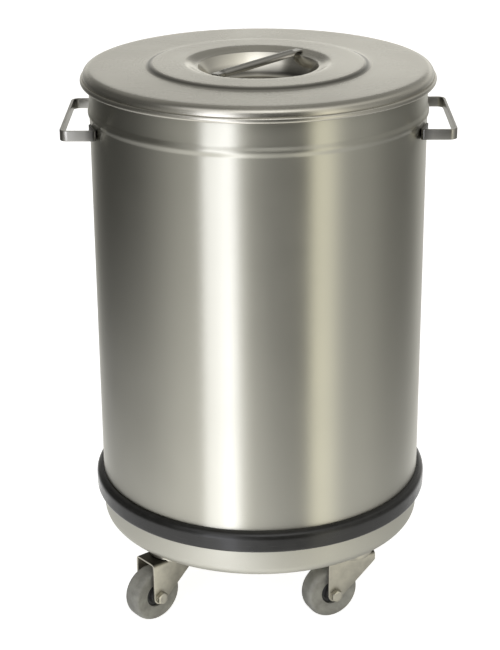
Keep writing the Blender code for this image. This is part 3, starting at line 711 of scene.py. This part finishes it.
class WASTEBIN_OT_base(bpy.types.Operator):
    """Pressed base pan and the rubber bumper over its joint with the drum"""
    bl_idname = "wastebin.base"
    bl_label = "Base pan and bumper"

    def execute(self, context):
        size, finish = context.scene.wastebin_body, context.scene.wastebin_finishes
        pressed = matt_steel("matt_pan_steel", finish.pan, finish.pan_roughness, metallic=0.9)
        rubber = moulded_rubber("black_bumper_rubber", finish.bumper, roughness=0.33,
                                scuffs=(45, 420, 1), sheen=0.34)
        pan = turned(pan_profile(size), size.around)
        bumper = turned(bumper_profile(size), size.around, closed=True)
        make("pan_skin", pan, pressed, "bin", "base_pan")
        make("bumper_band", bumper, rubber, "bin", "bumper_ring")
        return {"FINISHED"}


# Lid and its bar

def lid_profile(size):
    """Bowl with a flat bottom, round corner and steep wall; lip and step as smooth steps; shoulder and hem.

    The hem is a flattened roll outside the skirt; it starts where its ellipse meets the skirt's outer face.
    """
    radius, plateau = LID_HIGH.x, LID_HIGH.z
    top, edge = plateau - size.plateau_rise, plateau - size.lip_drop
    wall, soft, heel, fall = size.bowl_wall, size.recess_edge, size.bowl_corner, size.shoulder
    bottom = edge - size.bowl_depth
    foot = size.recess_radius - size.bowl_depth / tan(wall)
    corner = arc((foot - heel * tan(wall / 2), bottom + heel), heel, heel, -90, degrees(wall) - 90, 16)
    brink = arc((size.recess_radius + soft * tan(wall / 2), edge - soft), soft, soft,
                90 + degrees(wall), 90, 8)
    bowl = run(straight((0, bottom), corner[0], 12), corner, straight(corner[-1], brink[0], 8))
    lip = wave(brink[-1], (size.lip_radius, plateau), 16)
    half = size.plateau_slope / 2
    step = wave((size.plateau_radius - half, plateau), (size.plateau_radius + half, top), 12)
    skirt = radius - 2 * size.hem + size.sheet
    shoulder = arc((skirt - fall, top - fall), fall, fall, 90, 0, 14)
    meets = degrees(acos((size.sheet - size.hem) / size.hem))
    hem = arc((radius - size.hem, top - size.skirt + size.hem_rise), size.hem, size.hem_rise, meets, -180, 26)
    line = run(bowl, brink, lip, straight(lip[-1], step[0], 6), step,
               straight(step[-1], shoulder[0], 10), shoulder)
    return run(line, hem, offset(line, size.sheet)[::-1])


# How far before the end of the round bar it starts to flatten, and how far beyond it the tab is flat
BAR_NECK, TAB_START = 0.0035, 0.0025


def bar_surface(size, seat):
    """Loft of superellipses along a line: cos and sin raised to 2 / squareness, keeping their signs.

    Underside, top, width and squareness run straight between stations along half of the bar, and the half
    is then mirrored.
    """
    plateau, end, reached, edge = LID_HIGH.z, size.bar_end, size.tab_reach, size.tab_edge
    high = plateau + size.bar_rise
    low = high - size.bar
    # The tab's end rests on the slope of the lip, a smooth step over its width.
    climb = (size.lip_radius - reached) / (size.lip_radius - size.recess_radius)
    tab_low = plateau - size.lip_drop * (1 - cos(pi * climb)) / 2 + seat
    tab_high = tab_low + size.tab_thickness
    neck, flat = end - BAR_NECK, end + TAB_START
    # Stations: place, underside, top, width and squareness of the section.
    stations = np.array([
        (0.0, low, high, size.bar, 2.0),
        (neck, low, high, size.bar, 2.0),
        (end - 0.0015, low + 0.0004, high - 0.0003, size.bar, 2.1),
        (end - 0.0004, low + 0.0018, high - 0.0010, size.bar, 2.6),
        (end + 0.0006, tab_low - 0.0006, tab_high + 0.0003, size.bar + 0.0006, 4.0),
        (flat, tab_low, tab_high, size.tab_width, 6.0),
        (reached, tab_low, tab_high, size.tab_width, 6.0)])
    s = np.concatenate([np.linspace(0, neck, 8)[:-1], np.linspace(neck, flat, 36),
                        np.linspace(flat, reached - edge, 8)[1:],
                        reached - edge * (1 - np.sin(np.linspace(0, pi / 2, 6)[1:]))])
    low, high, width, square = (np.interp(s, stations[:, 0], stations[:, k])[:, None] for k in range(1, 5))
    inset = edge * (1 - np.sqrt(1 - np.clip((s - reached) / edge + 1, 0, 1) ** 2))[:, None]
    width, low, high = width - 2 * inset, low + inset, high - inset
    a = np.linspace(0, 2 * pi, 33)[:-1]
    p = np.sign(np.cos(a)) * np.abs(np.cos(a)) ** (2 / square) * (width / 2)
    q = np.sign(np.sin(a)) * np.abs(np.sin(a)) ** (2 / square) * ((high - low) / 2)
    half = np.stack([p, q], -1)
    middle = np.column_stack([s, np.zeros_like(s), (low + high) / 2])
    sections = np.concatenate([half[:0:-1], half])
    middle = np.concatenate([middle[:0:-1] * (-1, 1, 1), middle])
    middle, across = turn_z(middle, size.bar_turn), turn_z(Y_AXIS, size.bar_turn)
    return closed_ends(*swept(middle, across, Z_AXIS, sections))


# Width over which the bowl's polish, smoother and lighter as painted light, fades out below its edge
POLISH_FADE = 0.006


class WASTEBIN_OT_lid(bpy.types.Operator):
    """Pressed lid: bowl, lip, plateau, step, shoulder, skirt and rolled hem"""
    bl_idname = "wastebin.lid"
    bl_label = "Lid"

    def execute(self, context):
        size, finish = context.scene.wastebin_lid, context.scene.wastebin_finishes
        # Rings of painted shade in the bowl's corner and in the step.
        bowl_shade_band = [size.recess_radius + way for way in BOWL_SHADE_RING]
        step_shade_band = [size.plateau_radius + way for way in STEP_SHADE_RING]
        # The bowl's polish is smoother and, as painted light, lighter.
        satin = brushed_steel("satin_lid_steel", finish.lid, finish.lid_roughness, **LID_BRUSH,
                              polished=(size.recess_radius - POLISH_FADE, size.recess_radius),
                              shade_rings=((bowl_shade_band, BOWL_SHADE), (step_shade_band, STEP_SHADE)))
        skin = turned(lid_profile(size), context.scene.wastebin_body.around)
        make("lid_skin", skin, satin, "lid", "lid_panel")
        return {"FINISHED"}


class WASTEBIN_OT_lid_bar(bpy.types.Operator):
    """Round bar across the lid's recess with its ends flattened into tabs"""
    bl_idname = "wastebin.lid_bar"
    bl_label = "Lid bar"

    def execute(self, context):
        size, finish = context.scene.wastebin_lid, context.scene.wastebin_finishes
        steel = brushed_steel("bright_bar_steel", finish.strap, finish.strap_roughness, **BAR_BRUSH)
        bar = bar_surface(size, context.scene.wastebin_body.seat)
        make("lid_bar", bar, steel, "lid", "lid_handle_bar")
        return {"FINISHED"}


# Handles

def strap_line(size, body):
    """Middle line of the strap: foot round the drum, bend, leg, corner and half of the grip, mirrored."""
    half, bend = size.thickness / 2, size.foot_bend
    leg, grip = STRAP_HIGH.y - half, STRAP_HIGH.x - half
    face = body.radius + body.seat + half
    bend_y = leg + half - bend
    bend_x = ((body.radius + body.seat + bend) ** 2 - bend_y ** 2) ** 0.5
    meets = degrees(atan2(bend_y, bend_x))
    inner, corner = bend - half, size.corner + half
    line = run(arc((0, 0), face, face, meets - degrees(size.foot / body.radius), meets, 10),
               arc((bend_x, bend_y), inner, inner, meets + 180, 90, 10),
               arc((grip - corner, leg - corner), corner, corner, 90, 0, 12),
               straight((grip, leg - corner), (grip, 0), 8))
    return run(line, line[::-1] * (1, -1))


# Painted shade at the strap's ends, where they meet the drum, beyond the foot: full up to the first length,
# gone at the second
END_SHADE_FULL, END_SHADE_GONE = 0.004, 0.014


class WASTEBIN_OT_handles(bpy.types.Operator):
    """Two bent strap handles, fixed to the drum by welds at their feet"""
    bl_idname = "wastebin.handles"
    bl_label = "Handles"

    def execute(self, context):
        size, finish = context.scene.wastebin_handles, context.scene.wastebin_finishes
        line = strap_line(size, context.scene.wastebin_body)
        along = headings(line)
        middle = np.column_stack([line, np.full(len(line), (STRAP_LOW.z + STRAP_HIGH.z) / 2)])
        across = np.column_stack([along[:, 1], -along[:, 0], np.zeros(len(line))])
        section = rounded_rectangle(size.thickness, STRAP_HIGH.z - STRAP_LOW.z, size.edge)
        sections = np.broadcast_to(section, (len(line),) + section.shape)
        # The straps' ends get painted shade where they meet the drum.
        steel = brushed_steel("brushed_strap_steel", finish.strap, finish.strap_roughness, **STRAP_BRUSH,
                              shaded_ends=(float(reach(middle)[-1]), size.foot + END_SHADE_FULL, size.foot + END_SHADE_GONE))
        for name, turn in (("right_handle", 0.0), ("left_handle", pi)):
            strap = closed_ends(*swept(turn_z(middle, turn), turn_z(across, turn), Z_AXIS, sections))
            make(name.replace("handle", "strap"), strap, steel, "bin", name)
        return {"FINISHED"}


# Castors

# Rounded edges of the fork's sheet, its race disc, the swivel cap and the hub's boss
FORK_EDGE, DISC_EDGE, CAP_EDGE, BOSS_EDGE = 0.0005, 0.0008, 0.0012, 0.0006
# Wall and top of the swivel cap
CAP_WALL, CAP_TOP = 0.0022, 0.0025
# How far inside the edge of the tread's straight middle the shoulder's ellipse starts
TREAD_LAP = 0.001
# Gaps round the axle's sleeve, between hub and tyre, and between a leg and the bolt's head
SLEEVE_GAP, HUB_GAP, HEAD_GAP = 0.0004, 0.0003, 0.0003
# Foot of the hub's boss: its height and its two widths beyond the boss
BOSS_FOOT, BOSS_NEAR, BOSS_FAR = 0.0008, 0.0006, 0.0014
# Bolt heads: facets, flat top and its inner ring as shares of the head's half width, chamfer of the tip
BOLT_STEPS, BOLT_CROWN, BOLT_INNER, BOLT_TIP = 96, 0.94, 0.6, 0.0006


def castor_frame(place):
    """Swivel axis on the floor, trail angle and trail length of a castor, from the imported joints."""
    swivel, roll = JOINTS[f"swivel_{place}"]["pos_m"], JOINTS[f"roll_{place}"]["pos_m"]
    dx, dy = roll[0] - swivel[0], roll[1] - swivel[1]
    return (swivel[0], swivel[1], 0.0), atan2(dy, dx), hypot(dx, dy)


def on_axle(surface, place, radius):
    """A surface made about Z, laid along a castor's axle with its +Z towards the bolt's head."""
    grid, uv = surface
    pivot, yaw, trail = castor_frame(place)
    laid = np.stack([grid[..., 0] + trail, grid[..., 2], radius - grid[..., 1]], -1)
    return turn_z(laid, yaw, pivot), uv


def on_swivel(surface, place):
    """A surface made about Z, moved to a castor's swivel axis and turned with its trail."""
    grid, uv = surface
    pivot, yaw = castor_frame(place)[:2]
    return turn_z(grid, yaw, pivot), uv


def hexagon_bolt(flats, base, top, shank=0.0, end=0.0):
    """Bolt about Z: head radius flats / 2 / cos(angle from the nearest flat), top cut by a 30 degree cone.

    A shank goes on from the head's base to its end; a nut has none.
    """
    a = np.linspace(0, 2 * pi, BOLT_STEPS + 1)
    hexagon = flats / 2 / np.cos((a + pi / 6) % (pi / 3) - pi / 6)
    way = 1.0 if top > base else -1.0
    crown = BOLT_CROWN * flats / 2
    rows = [(0, top), (crown * BOLT_INNER, top), (crown, top),
            (hexagon, top - way * (hexagon - crown) * tan(pi / 6)), (hexagon, base)]
    if shank:
        rows += [(shank, base), (shank, end + way * BOLT_TIP), (shank - BOLT_TIP, end), (0, end)]
    else:
        rows += [(0, base)]
    radius, height = (np.array([np.broadcast_to(row[k], a.shape) for row in rows]) for k in (0, 1))
    grid = np.stack([radius * np.cos(a), radius * np.sin(a), height], -1)
    return grid, np.stack(np.broadcast_arrays(a / (2 * pi), height), -1)


def fork_channel(size, trail):
    """Loft along the sheet's middle line across the wheel: up one leg, over the crown and down the other.

    Each section is a rounded rectangle as long as the leg is wide at that height: from the nose, the slanted
    cut or the round tip about the axle, which lead, to the tail, which trails.
    """
    sheet, tip, axle, bend = size.fork_sheet, size.fork_tip, size.wheel_radius, size.fork_bend
    crown = 2 * axle + size.crown_gap + sheet
    outside = size.tyre_width / 2 + size.fork_gap + sheet
    nose_x, nose_z = -size.fork_nose, crown - size.nose_depth
    dx, dz = nose_x - trail, nose_z - axle
    touch = atan2(dz, dx) + acos(tip / hypot(dx, dz))
    touch_x, touch_z = trail + tip * cos(touch), axle + tip * sin(touch)
    round_tip = axle - tip * np.cos(np.radians(np.linspace(0, 90, 12)))
    leg = np.concatenate([round_tip, np.linspace(axle, crown - bend, 16)[1:]])
    side = np.column_stack([np.full(len(leg), sheet / 2 - outside), leg])
    corner = arc((bend - outside, crown - bend), bend - sheet / 2, bend - sheet / 2, 180, 90, 8)
    half = run(side, corner, [(0.0, crown - sheet / 2)])
    line = run(half, half[::-1] * (-1, 1))
    along = headings(line)
    along[0], along[-1] = (0, 1), (0, -1)
    z = line[:, 1]
    drop = np.sqrt(np.clip(tip ** 2 - np.clip(axle - z, 0, tip) ** 2, 0, None))
    trailing = np.where(z < axle, trail + drop, trail + tip)
    slant = nose_x + (nose_z - z) / (nose_z - touch_z) * (touch_x - nose_x)
    full = np.sqrt(np.clip(tip ** 2 - (axle - z) ** 2, 0, None))
    leading = np.where(z > nose_z, nose_x, np.where(z > touch_z, slant, trail - full))
    span = np.clip(trailing - leading, 0, None)[:, None]
    edge = np.minimum(FORK_EDGE, span / 2)
    turn = np.radians(np.concatenate([np.linspace(k, k + 90, 4) for k in (0, 90, 180, 270)]))
    quadrant = np.repeat([(1, 1), (-1, 1), (-1, -1), (1, -1)], 4, axis=0)
    p = quadrant[:, 0] * (span / 2 - edge) + edge * np.cos(turn)
    q = quadrant[:, 1] * (sheet / 2 - edge) + edge * np.sin(turn)
    middle = np.column_stack([(leading + trailing) / 2, line])
    up = np.column_stack([np.zeros(len(line)), -along[:, 1], along[:, 0]])
    return swept(middle, X_AXIS, up, np.stack([p, q], -1))


def disc_profile(size):
    """Race disc through the fork's crown: flat top and bottom with rounded edges."""
    under = 2 * size.wheel_radius + size.crown_gap
    low, high = under - size.crown_step, under + size.fork_sheet + size.crown_step
    edge, round_off = size.crown_radius - DISC_EDGE, DISC_EDGE
    return run([(0, high)], arc((edge, high - round_off), round_off, round_off, 90, 0, 4),
               arc((edge, low + round_off), round_off, round_off, 0, -90, 4), [(0, low)])


def cap_profile(bore, radius, low, high):
    """Closed profile of a swivel cap: a cup upside down with a rounded upper edge and a bore for the bolt."""
    inside, under = radius - CAP_WALL, high - CAP_TOP
    return run([(bore, high)], arc((radius - CAP_EDGE, high - CAP_EDGE), CAP_EDGE, CAP_EDGE, 90, 0, 6),
               [(radius, low), (inside, low), (inside, under), (bore, under)])


def tyre_profile(size):
    """Closed profile: flank, shoulder as a quarter ellipse and tread, mirrored to the other side."""
    edge, tread = size.tyre_width / 2, size.wheel_radius
    start = size.tread_width / 2 - TREAD_LAP
    shoulder = arc((tread - size.tyre_shoulder, start), size.tyre_shoulder, edge - start, 90, 0, 10)
    half = run(straight((size.tyre_bore, edge - size.tyre_bulge), shoulder[0], 6), shoulder, [(tread, 0.0)])
    return run(half, half[::-1] * (1, -1))


def hub_profile(size):
    """Closed profile: bore, boss with rounded end and sloped foot, and the edge under the tyre, mirrored."""
    boss, end, ring = size.boss_radius, size.hub_width / 2, size.tyre_width / 2 - size.hub_recess
    half = run([(size.sleeve_radius + SLEEVE_GAP, end)],
               arc((boss - BOSS_EDGE, end - BOSS_EDGE), BOSS_EDGE, BOSS_EDGE, 90, 0, 4),
               [(boss + BOSS_NEAR, ring + BOSS_FOOT), (boss + BOSS_FAR, ring),
                (size.tyre_bore - HUB_GAP, ring)])
    return run(half, half[::-1] * (1, -1))


class WASTEBIN_OT_forks(bpy.types.Operator):
    """Pressed castor forks, each a bent channel with cut legs, and the race disc on its crown"""
    bl_idname = "wastebin.forks"
    bl_label = "Castor forks"

    def execute(self, context):
        size, finish = context.scene.wastebin_castors, context.scene.wastebin_finishes
        # The forks' upward faces get painted shade, as under the pan.
        zinc = zinc_plate("zinc_fork_plate", finish.zinc, roughness=0.42, shaded_tops=True)
        disc = turned(disc_profile(size), size.around)
        for place in PLACES:
            channel = fork_channel(size, castor_frame(place)[2])
            pieces = (("channel", channel, f"castor_{place}_fork"), ("race_disc", disc, None))
            for name, shape, node in pieces:
                make(f"castor_{place}_{name}", on_swivel(shape, place), zinc,
                     f"fork_{place}", node)
        return {"FINISHED"}


class WASTEBIN_OT_swivels(bpy.types.Operator):
    """Swivel caps and bolts of the castors; ball rings, washers and nuts keep their CAD shape"""
    bl_idname = "wastebin.swivels"
    bl_label = "Castor swivels"

    def execute(self, context):
        size, finish = context.scene.wastebin_castors, context.scene.wastebin_finishes
        zinc = zinc_plate("zinc_swivel_plate", finish.zinc, roughness=0.36)
        race = zinc_plate("ball_ring_steel", finish.race, roughness=0.25)
        for place in PLACES:
            low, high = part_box(f"castor_{place}_swivel_cap")
            radius = (high.x - low.x) / 2
            cap = turned(cap_profile(size.bolt_radius, radius, low.z, high.z), size.around, closed=True)
            low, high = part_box(f"castor_{place}_bolt")
            bolt = hexagon_bolt(size.bolt_flats, low.z + size.bolt_head, low.z, size.bolt_radius, high.z)
            for name, shape, node in (("cap", cap, "swivel_cap"), ("swivel_bolt", bolt, "bolt")):
                make(f"castor_{place}_{name}", on_swivel(shape, place), zinc,
                     "bin", f"castor_{place}_{node}")
            for node, material in (("ball_ring", race), ("washer", zinc), ("nut", zinc)):
                repaint(f"castor_{place}_{node}", material)
        return {"FINISHED"}


class WASTEBIN_OT_wheels(bpy.types.Operator):
    """Rubber tyres, plastic hubs, axle bolts and nuts of the castors; sleeves keep their CAD shape"""
    bl_idname = "wastebin.wheels"
    bl_label = "Castor wheels"

    def execute(self, context):
        size, finish = context.scene.wastebin_castors, context.scene.wastebin_finishes
        rubber = moulded_rubber("grey_tyre_rubber", finish.tyre, roughness=0.62)
        plastic = moulded_rubber("dark_hub_plastic", finish.hub, roughness=0.45)
        zinc = zinc_plate("zinc_axle_plate", finish.zinc, roughness=0.30)
        tyre = turned(tyre_profile(size), size.around, closed=True)
        hub = turned(hub_profile(size), size.around, closed=True)
        head = size.tyre_width / 2 + size.fork_gap + size.fork_sheet + HEAD_GAP
        nut_end = -head - size.axle_nut
        bolt = hexagon_bolt(size.axle_flats, head, head + size.axle_head,
                            size.axle_radius, nut_end - size.axle_tip)
        nut = hexagon_bolt(size.axle_flats, -head, nut_end)
        pieces = (("rubber", tyre, rubber, "wheel", "tyre", "tyre_rubber"),
                  ("core", hub, plastic, "wheel", "hub", "hub_plastic"),
                  ("axle_bolt", bolt, zinc, "fork", "axle", "zinc_steel"),
                  ("lock_nut", nut, zinc, "fork", "axle_nut", "zinc_steel"))
        for place in PLACES:
            for name, shape, material, body, node, slot in pieces:
                make(f"castor_{place}_{name}", on_axle(shape, place, size.wheel_radius), material,
                     f"{body}_{place}", f"castor_{place}_{node}")
            repaint(f"castor_{place}_sleeve", zinc)
        return {"FINISHED"}


# Light of the studio's walls, from the floor up: bearing in degrees, brightness, and warmth where it differs
WARMTH = 0.05
LOW_WALL = (
    (-180, 0.75), (-164, 0.75), (-154, 0.40), (-146, 0.18), (-130, 0.08), (-104, 0.055), (-88, 0.08),
    (-66, 0.25), (-48, 0.43), (-38.5, 0.58), (-36.5, 3.0, -0.08), (-18, 2.8, -0.08), (-13, 0.88, 0.03),
    (-5, 0.24), (8, 0.09), (31, 0.08), (36, 0.62, 0.15), (39, 1.38, 0.17), (48, 1.34, 0.15), (56, 0.76, 0.08),
    (64, 0.50), (80, 0.42), (98, 0.25), (114, 0.18), (128, 0.21), (147, 0.56), (160, 0.75), (180, 0.75))
# Lower down the bright strip starts further right, the warm one is dimmer and the gap between is lighter.
FOOT_STOPS = {
    -66: (-66, 0.36), -38.5: (-31, 0.65), -36.5: (-23, 2.3, -0.08), -18: (-18, 2.2, -0.08),
    -13: (-13, 0.78, 0.03), -5: (-5, 0.38), 8: (8, 0.30), 31: (31, 0.26), 39: (39, 1.05, 0.17),
    48: (48, 0.95, 0.15)}
FOOT_WALL = tuple(FOOT_STOPS.get(stop[0], stop) for stop in LOW_WALL)
MIDDLE_WALL = (
    (-180, 1.62), (-177, 1.28), (-172, 1.08), (-166, 0.95), (-150, 0.32), (-130, 0.10), (-72, 0.10),
    (-54, 0.35), (-38.5, 0.55, 0.03), (-35, 2.2, -0.05), (-20, 2.0, -0.05), (-12, 0.50, 0.03), (2, 0.14),
    (31, 0.12), (37, 1.05, 0.12), (48, 1.05, 0.12), (58, 0.45), (96, 0.30), (130, 0.45), (150, 0.80),
    (166, 1.25), (173, 1.38), (177, 1.48), (180, 1.62))
HIGH_WALL = (
    (-180, 0.28), (-150, 0.18), (-125, 0.09), (-80, 0.13), (-68, 0.30, 0.03), (-56, 0.95, 0.0),
    (-36, 1.10, 0.0), (-18, 1.45, 0.0), (0, 1.85, 0.0), (20, 1.75, 0.02), (36, 1.2, 0.04), (60, 0.85),
    (96, 0.60), (130, 0.40), (160, 0.34), (180, 0.28))
CEILING = (
    (-180, 0.40), (-150, 0.27), (-90, 0.16), (-30, 0.40), (30, 0.40), (90, 0.26), (150, 0.30), (180, 0.40))
# Heights of a direction over which each wall gives way to the next one above it
LOW_RISE, MIDDLE_RISE, HIGH_RISE, CEILING_RISE = (-0.46, -0.26), (0.0, 0.10), (0.36, 0.505), (0.66, 0.86)
# How much lower the high wall and the ceiling come down behind the bin than in front of it
HIGH_LEAN, CEILING_LEAN = 0.2, 0.3
# Share of the warmth that red gains; blue loses all of it
RED_GAIN = 0.2
# Sensor of the camera in millimetres, and its clipping distances
SENSOR, CLIP = 36.0, (0.05, 60.0)
# Half widths of the floor and of the sheet that steel mirrors, and the sheet's height
FLOOR_HALF, MIRROR_HALF, MIRROR_HEIGHT = 12.0, 2.5, 0.0004
# Mirrored floor: where it fades out and is dark under the bin, by distance from the axis
FADE_OUT, UNDER_BIN = (0.2, 1.6), (0.14, 0.26)
# Where it is brighter to the front left, by X plus Y, and dimmer to the right, by X
FRONT_LEFT, TO_RIGHT = (-1.3, -0.4), (0.02, 0.18)
# Its light in those three places as shares
UNDER_SHARE, LEFT_SHARE, RIGHT_SHARE = 0.08, 2.3, 0.66
# Shade to the right of the bin, by X and by distance from the axis, and the share of light that passes it
SHADE_X, SHADE_AWAY, SHADE_SHARE = (0.04, 0.14), (0.26, 0.38), 0.35
WHITE = (1.0, 1.0, 1.0, 1.0)


def stage_sheet(name, half, height):
    """A square sheet of the stage, level, centred on the bin."""
    mesh = bpy.data.meshes.new(name)
    corners = [(x * half, y * half, height) for x, y in ((-1, -1), (1, -1), (1, 1), (-1, 1))]
    mesh.from_pydata(corners, [], [(0, 1, 2, 3)])
    sheet = bpy.data.objects.new(name, mesh)
    bpy.context.scene.collection.objects.link(sheet)
    return sheet


def studio_camera(scene, stage):
    """Camera in front of the bin, turned about X by its tilt and about its own view by its roll."""
    data = bpy.data.cameras.new("studio_camera")
    data.lens, data.sensor_width, data.shift_x = stage.lens, SENSOR, stage.shift
    data.clip_start, data.clip_end = CLIP
    camera = bpy.data.objects.new("studio_camera", data)
    camera.matrix_world = (Matrix.Translation((0.0, -stage.distance, stage.height))
                           @ Matrix.Rotation(stage.tilt, 4, "X") @ Matrix.Rotation(stage.roll, 4, "Z"))
    scene.collection.objects.link(camera)
    scene.camera = camera


def pale_floor(stage):
    """Floor that glows by itself; reflections and bounced light don't see it."""
    floor = stage_sheet("studio_floor", FLOOR_HALF, 0.0)
    paint = Finish("pale_floor_paint")
    paint.give("Base Color", (*stage.floor, 1.0))
    paint.give("Roughness", 0.9)
    paint.give("Emission Color", WHITE)
    paint.give("Emission Strength", stage.floor_glow)
    floor.data.materials.append(paint.material)
    floor.visible_glossy = floor.visible_diffuse = False


def floor_reflection(stage):
    """The floor near the bin as steel mirrors it: a sheet that reflections alone see, fading outwards.

    It is dark under the bin, brighter to the front left and dimmer to the right, where it also shades what
    is beyond.
    """
    mirror = stage_sheet("floor_reflection", MIRROR_HALF, MIRROR_HEIGHT)
    glow = Finish("floor_reflection_glow")
    away = glow.size_of(glow.place["Object"])
    x, y, _ = glow.apart(glow.place["Object"])
    fading = glow.maths("POWER", glow.ranged(away, *FADE_OUT, 1.0, 0.0), 2.0)
    lit = glow.times(fading, glow.ranged(away, *UNDER_BIN, UNDER_SHARE, 1.0))
    brighter = LEFT_SHARE * stage.reflection
    sides = glow.times(glow.ranged(glow.plus(x, y), *FRONT_LEFT, brighter, stage.reflection),
                       glow.ranged(x, *TO_RIGHT, 1.0, RIGHT_SHARE))
    shade = glow.times(glow.ranged(x, *SHADE_X), glow.ranged(away, *SHADE_AWAY, 1.0, 0.0))
    shine = glow.nodes.new("ShaderNodeEmission")
    beyond = glow.nodes.new("ShaderNodeBsdfTransparent")
    both = glow.nodes.new("ShaderNodeAddShader")
    glow.link(glow.times(lit, sides), shine.inputs["Strength"])
    glow.link(glow.ranged(shade, 0.0, 1.0, 1.0, SHADE_SHARE), beyond.inputs["Color"])
    glow.link(beyond.outputs[0], both.inputs[0])
    glow.link(shine.outputs[0], both.inputs[1])
    glow.link(both.outputs[0], glow.nodes["Material Output"].inputs["Surface"])
    mirror.data.materials.append(glow.material)
    mirror.visible_camera = mirror.visible_diffuse = False
    mirror.visible_transmission = mirror.visible_shadow = False


def studio_light(scene, stage):
    """A world of soft walls: brightness by bearing near the floor and higher up, and a dim ceiling."""
    scene.world = bpy.data.worlds.new("soft_studio")
    sky = Nodes(scene.world)
    x, y, up = sky.apart(sky.place["Generated"])
    heading = sky.maths("ARCTAN2", x, sky.times(y, -1.0))
    around = sky.maths("DIVIDE", sky.plus(heading, pi), 2 * pi)

    def wall(stops):
        """Brightness and warmth by bearing in degrees: 0 is the camera's side, positive to its right."""
        node = sky.nodes.new("ShaderNodeValToRGB")
        ramp = node.color_ramp
        while len(ramp.elements) < len(stops):
            ramp.elements.new(0.5)
        for element, (bearing, light, *other) in zip(ramp.elements, stops):
            warm = other[0] if other else WARMTH
            element.position = (bearing + 180) / 360
            element.color = (light * (1 + RED_GAIN * warm), light, light * (1 - warm), 1.0)
        sky.link(around, node.inputs[0])
        return node.outputs[0]

    leaning, steep = (sky.plus(up, sky.times(y, lean)) for lean in (HIGH_LEAN, CEILING_LEAN))
    colour = wall(FOOT_WALL)
    for height, rise, stops in ((up, LOW_RISE, LOW_WALL), (up, MIDDLE_RISE, MIDDLE_WALL),
                                (leaning, HIGH_RISE, HIGH_WALL), (steep, CEILING_RISE, CEILING)):
        colour = sky.mixed(sky.ranged(height, *rise, smooth=True), colour, wall(stops))
    light, plain = sky.nodes["Background"], sky.nodes.new("ShaderNodeBackground")
    sky.put(colour, light.inputs["Color"])
    sky.put(stage.surround, light.inputs["Strength"])
    sky.put(WHITE, plain.inputs["Color"])
    # The camera sees plain white instead of the walls.
    shown = sky.nodes.new("ShaderNodeMixShader")
    seen = sky.nodes.new("ShaderNodeLightPath").outputs["Is Camera Ray"]
    for source, target in zip((seen, light.outputs[0], plain.outputs[0]), shown.inputs):
        sky.link(source, target)
    sky.link(shown.outputs[0], sky.nodes["World Output"].inputs["Surface"])


class WASTEBIN_OT_stage(bpy.types.Operator):
    """Camera at the photograph's angle, pale floor and soft studio light"""
    bl_idname = "wastebin.stage"
    bl_label = "Studio"

    def execute(self, context):
        scene, stage = context.scene, context.scene.wastebin_stage
        studio_camera(scene, stage)
        pale_floor(stage)
        floor_reflection(stage)
        studio_light(scene, stage)
        scene.view_settings.view_transform = "Standard"
        return {"FINISHED"}


class WASTEBIN_PT_panel(bpy.types.Panel):
    """Lists the operators and the sizes and finishes that they use"""
    bl_idname = "WASTEBIN_PT_panel"
    bl_label = "Waste bin"
    bl_space_type = "VIEW_3D"
    bl_region_type = "UI"
    bl_category = "Waste bin"

    def draw(self, context):
        for operator in OPERATORS:
            self.layout.operator(operator.bl_idname)
        for name, group in GROUPS.items():
            box = self.layout.box()
            for key in group.__annotations__:
                box.prop(getattr(context.scene, name), key)


GROUPS = {
    "wastebin_body": WasteBinBodySizes,
    "wastebin_lid": WasteBinLidSizes,
    "wastebin_handles": WasteBinHandleSizes,
    "wastebin_castors": WasteBinCastorSizes,
    "wastebin_finishes": WasteBinFinishes,
    "wastebin_stage": WasteBinStage,
}
OPERATORS = (WASTEBIN_OT_drum, WASTEBIN_OT_base, WASTEBIN_OT_lid, WASTEBIN_OT_lid_bar, WASTEBIN_OT_handles,
             WASTEBIN_OT_forks, WASTEBIN_OT_swivels, WASTEBIN_OT_wheels, WASTEBIN_OT_stage)


def register():
    for group in GROUPS.values():
        bpy.utils.register_class(group)
    for name, group in GROUPS.items():
        setattr(bpy.types.Scene, name, PointerProperty(type=group))
    for item in (*OPERATORS, WASTEBIN_PT_panel):
        bpy.utils.register_class(item)


def unregister():
    for item in (WASTEBIN_PT_panel, *reversed(OPERATORS)):
        bpy.utils.unregister_class(item)
    for name in GROUPS:
        delattr(bpy.types.Scene, name)
    for group in reversed(GROUPS.values()):
        bpy.utils.unregister_class(group)


def main():
    """Register the classes, and make every piece and the stage."""
    register()
    bpy.ops.wastebin.drum()
    bpy.ops.wastebin.base()
    bpy.ops.wastebin.lid()
    bpy.ops.wastebin.lid_bar()
    bpy.ops.wastebin.handles()
    bpy.ops.wastebin.forks()
    bpy.ops.wastebin.swivels()
    bpy.ops.wastebin.wheels()
    bpy.ops.wastebin.stage()


if __name__ == "__main__":
    main()
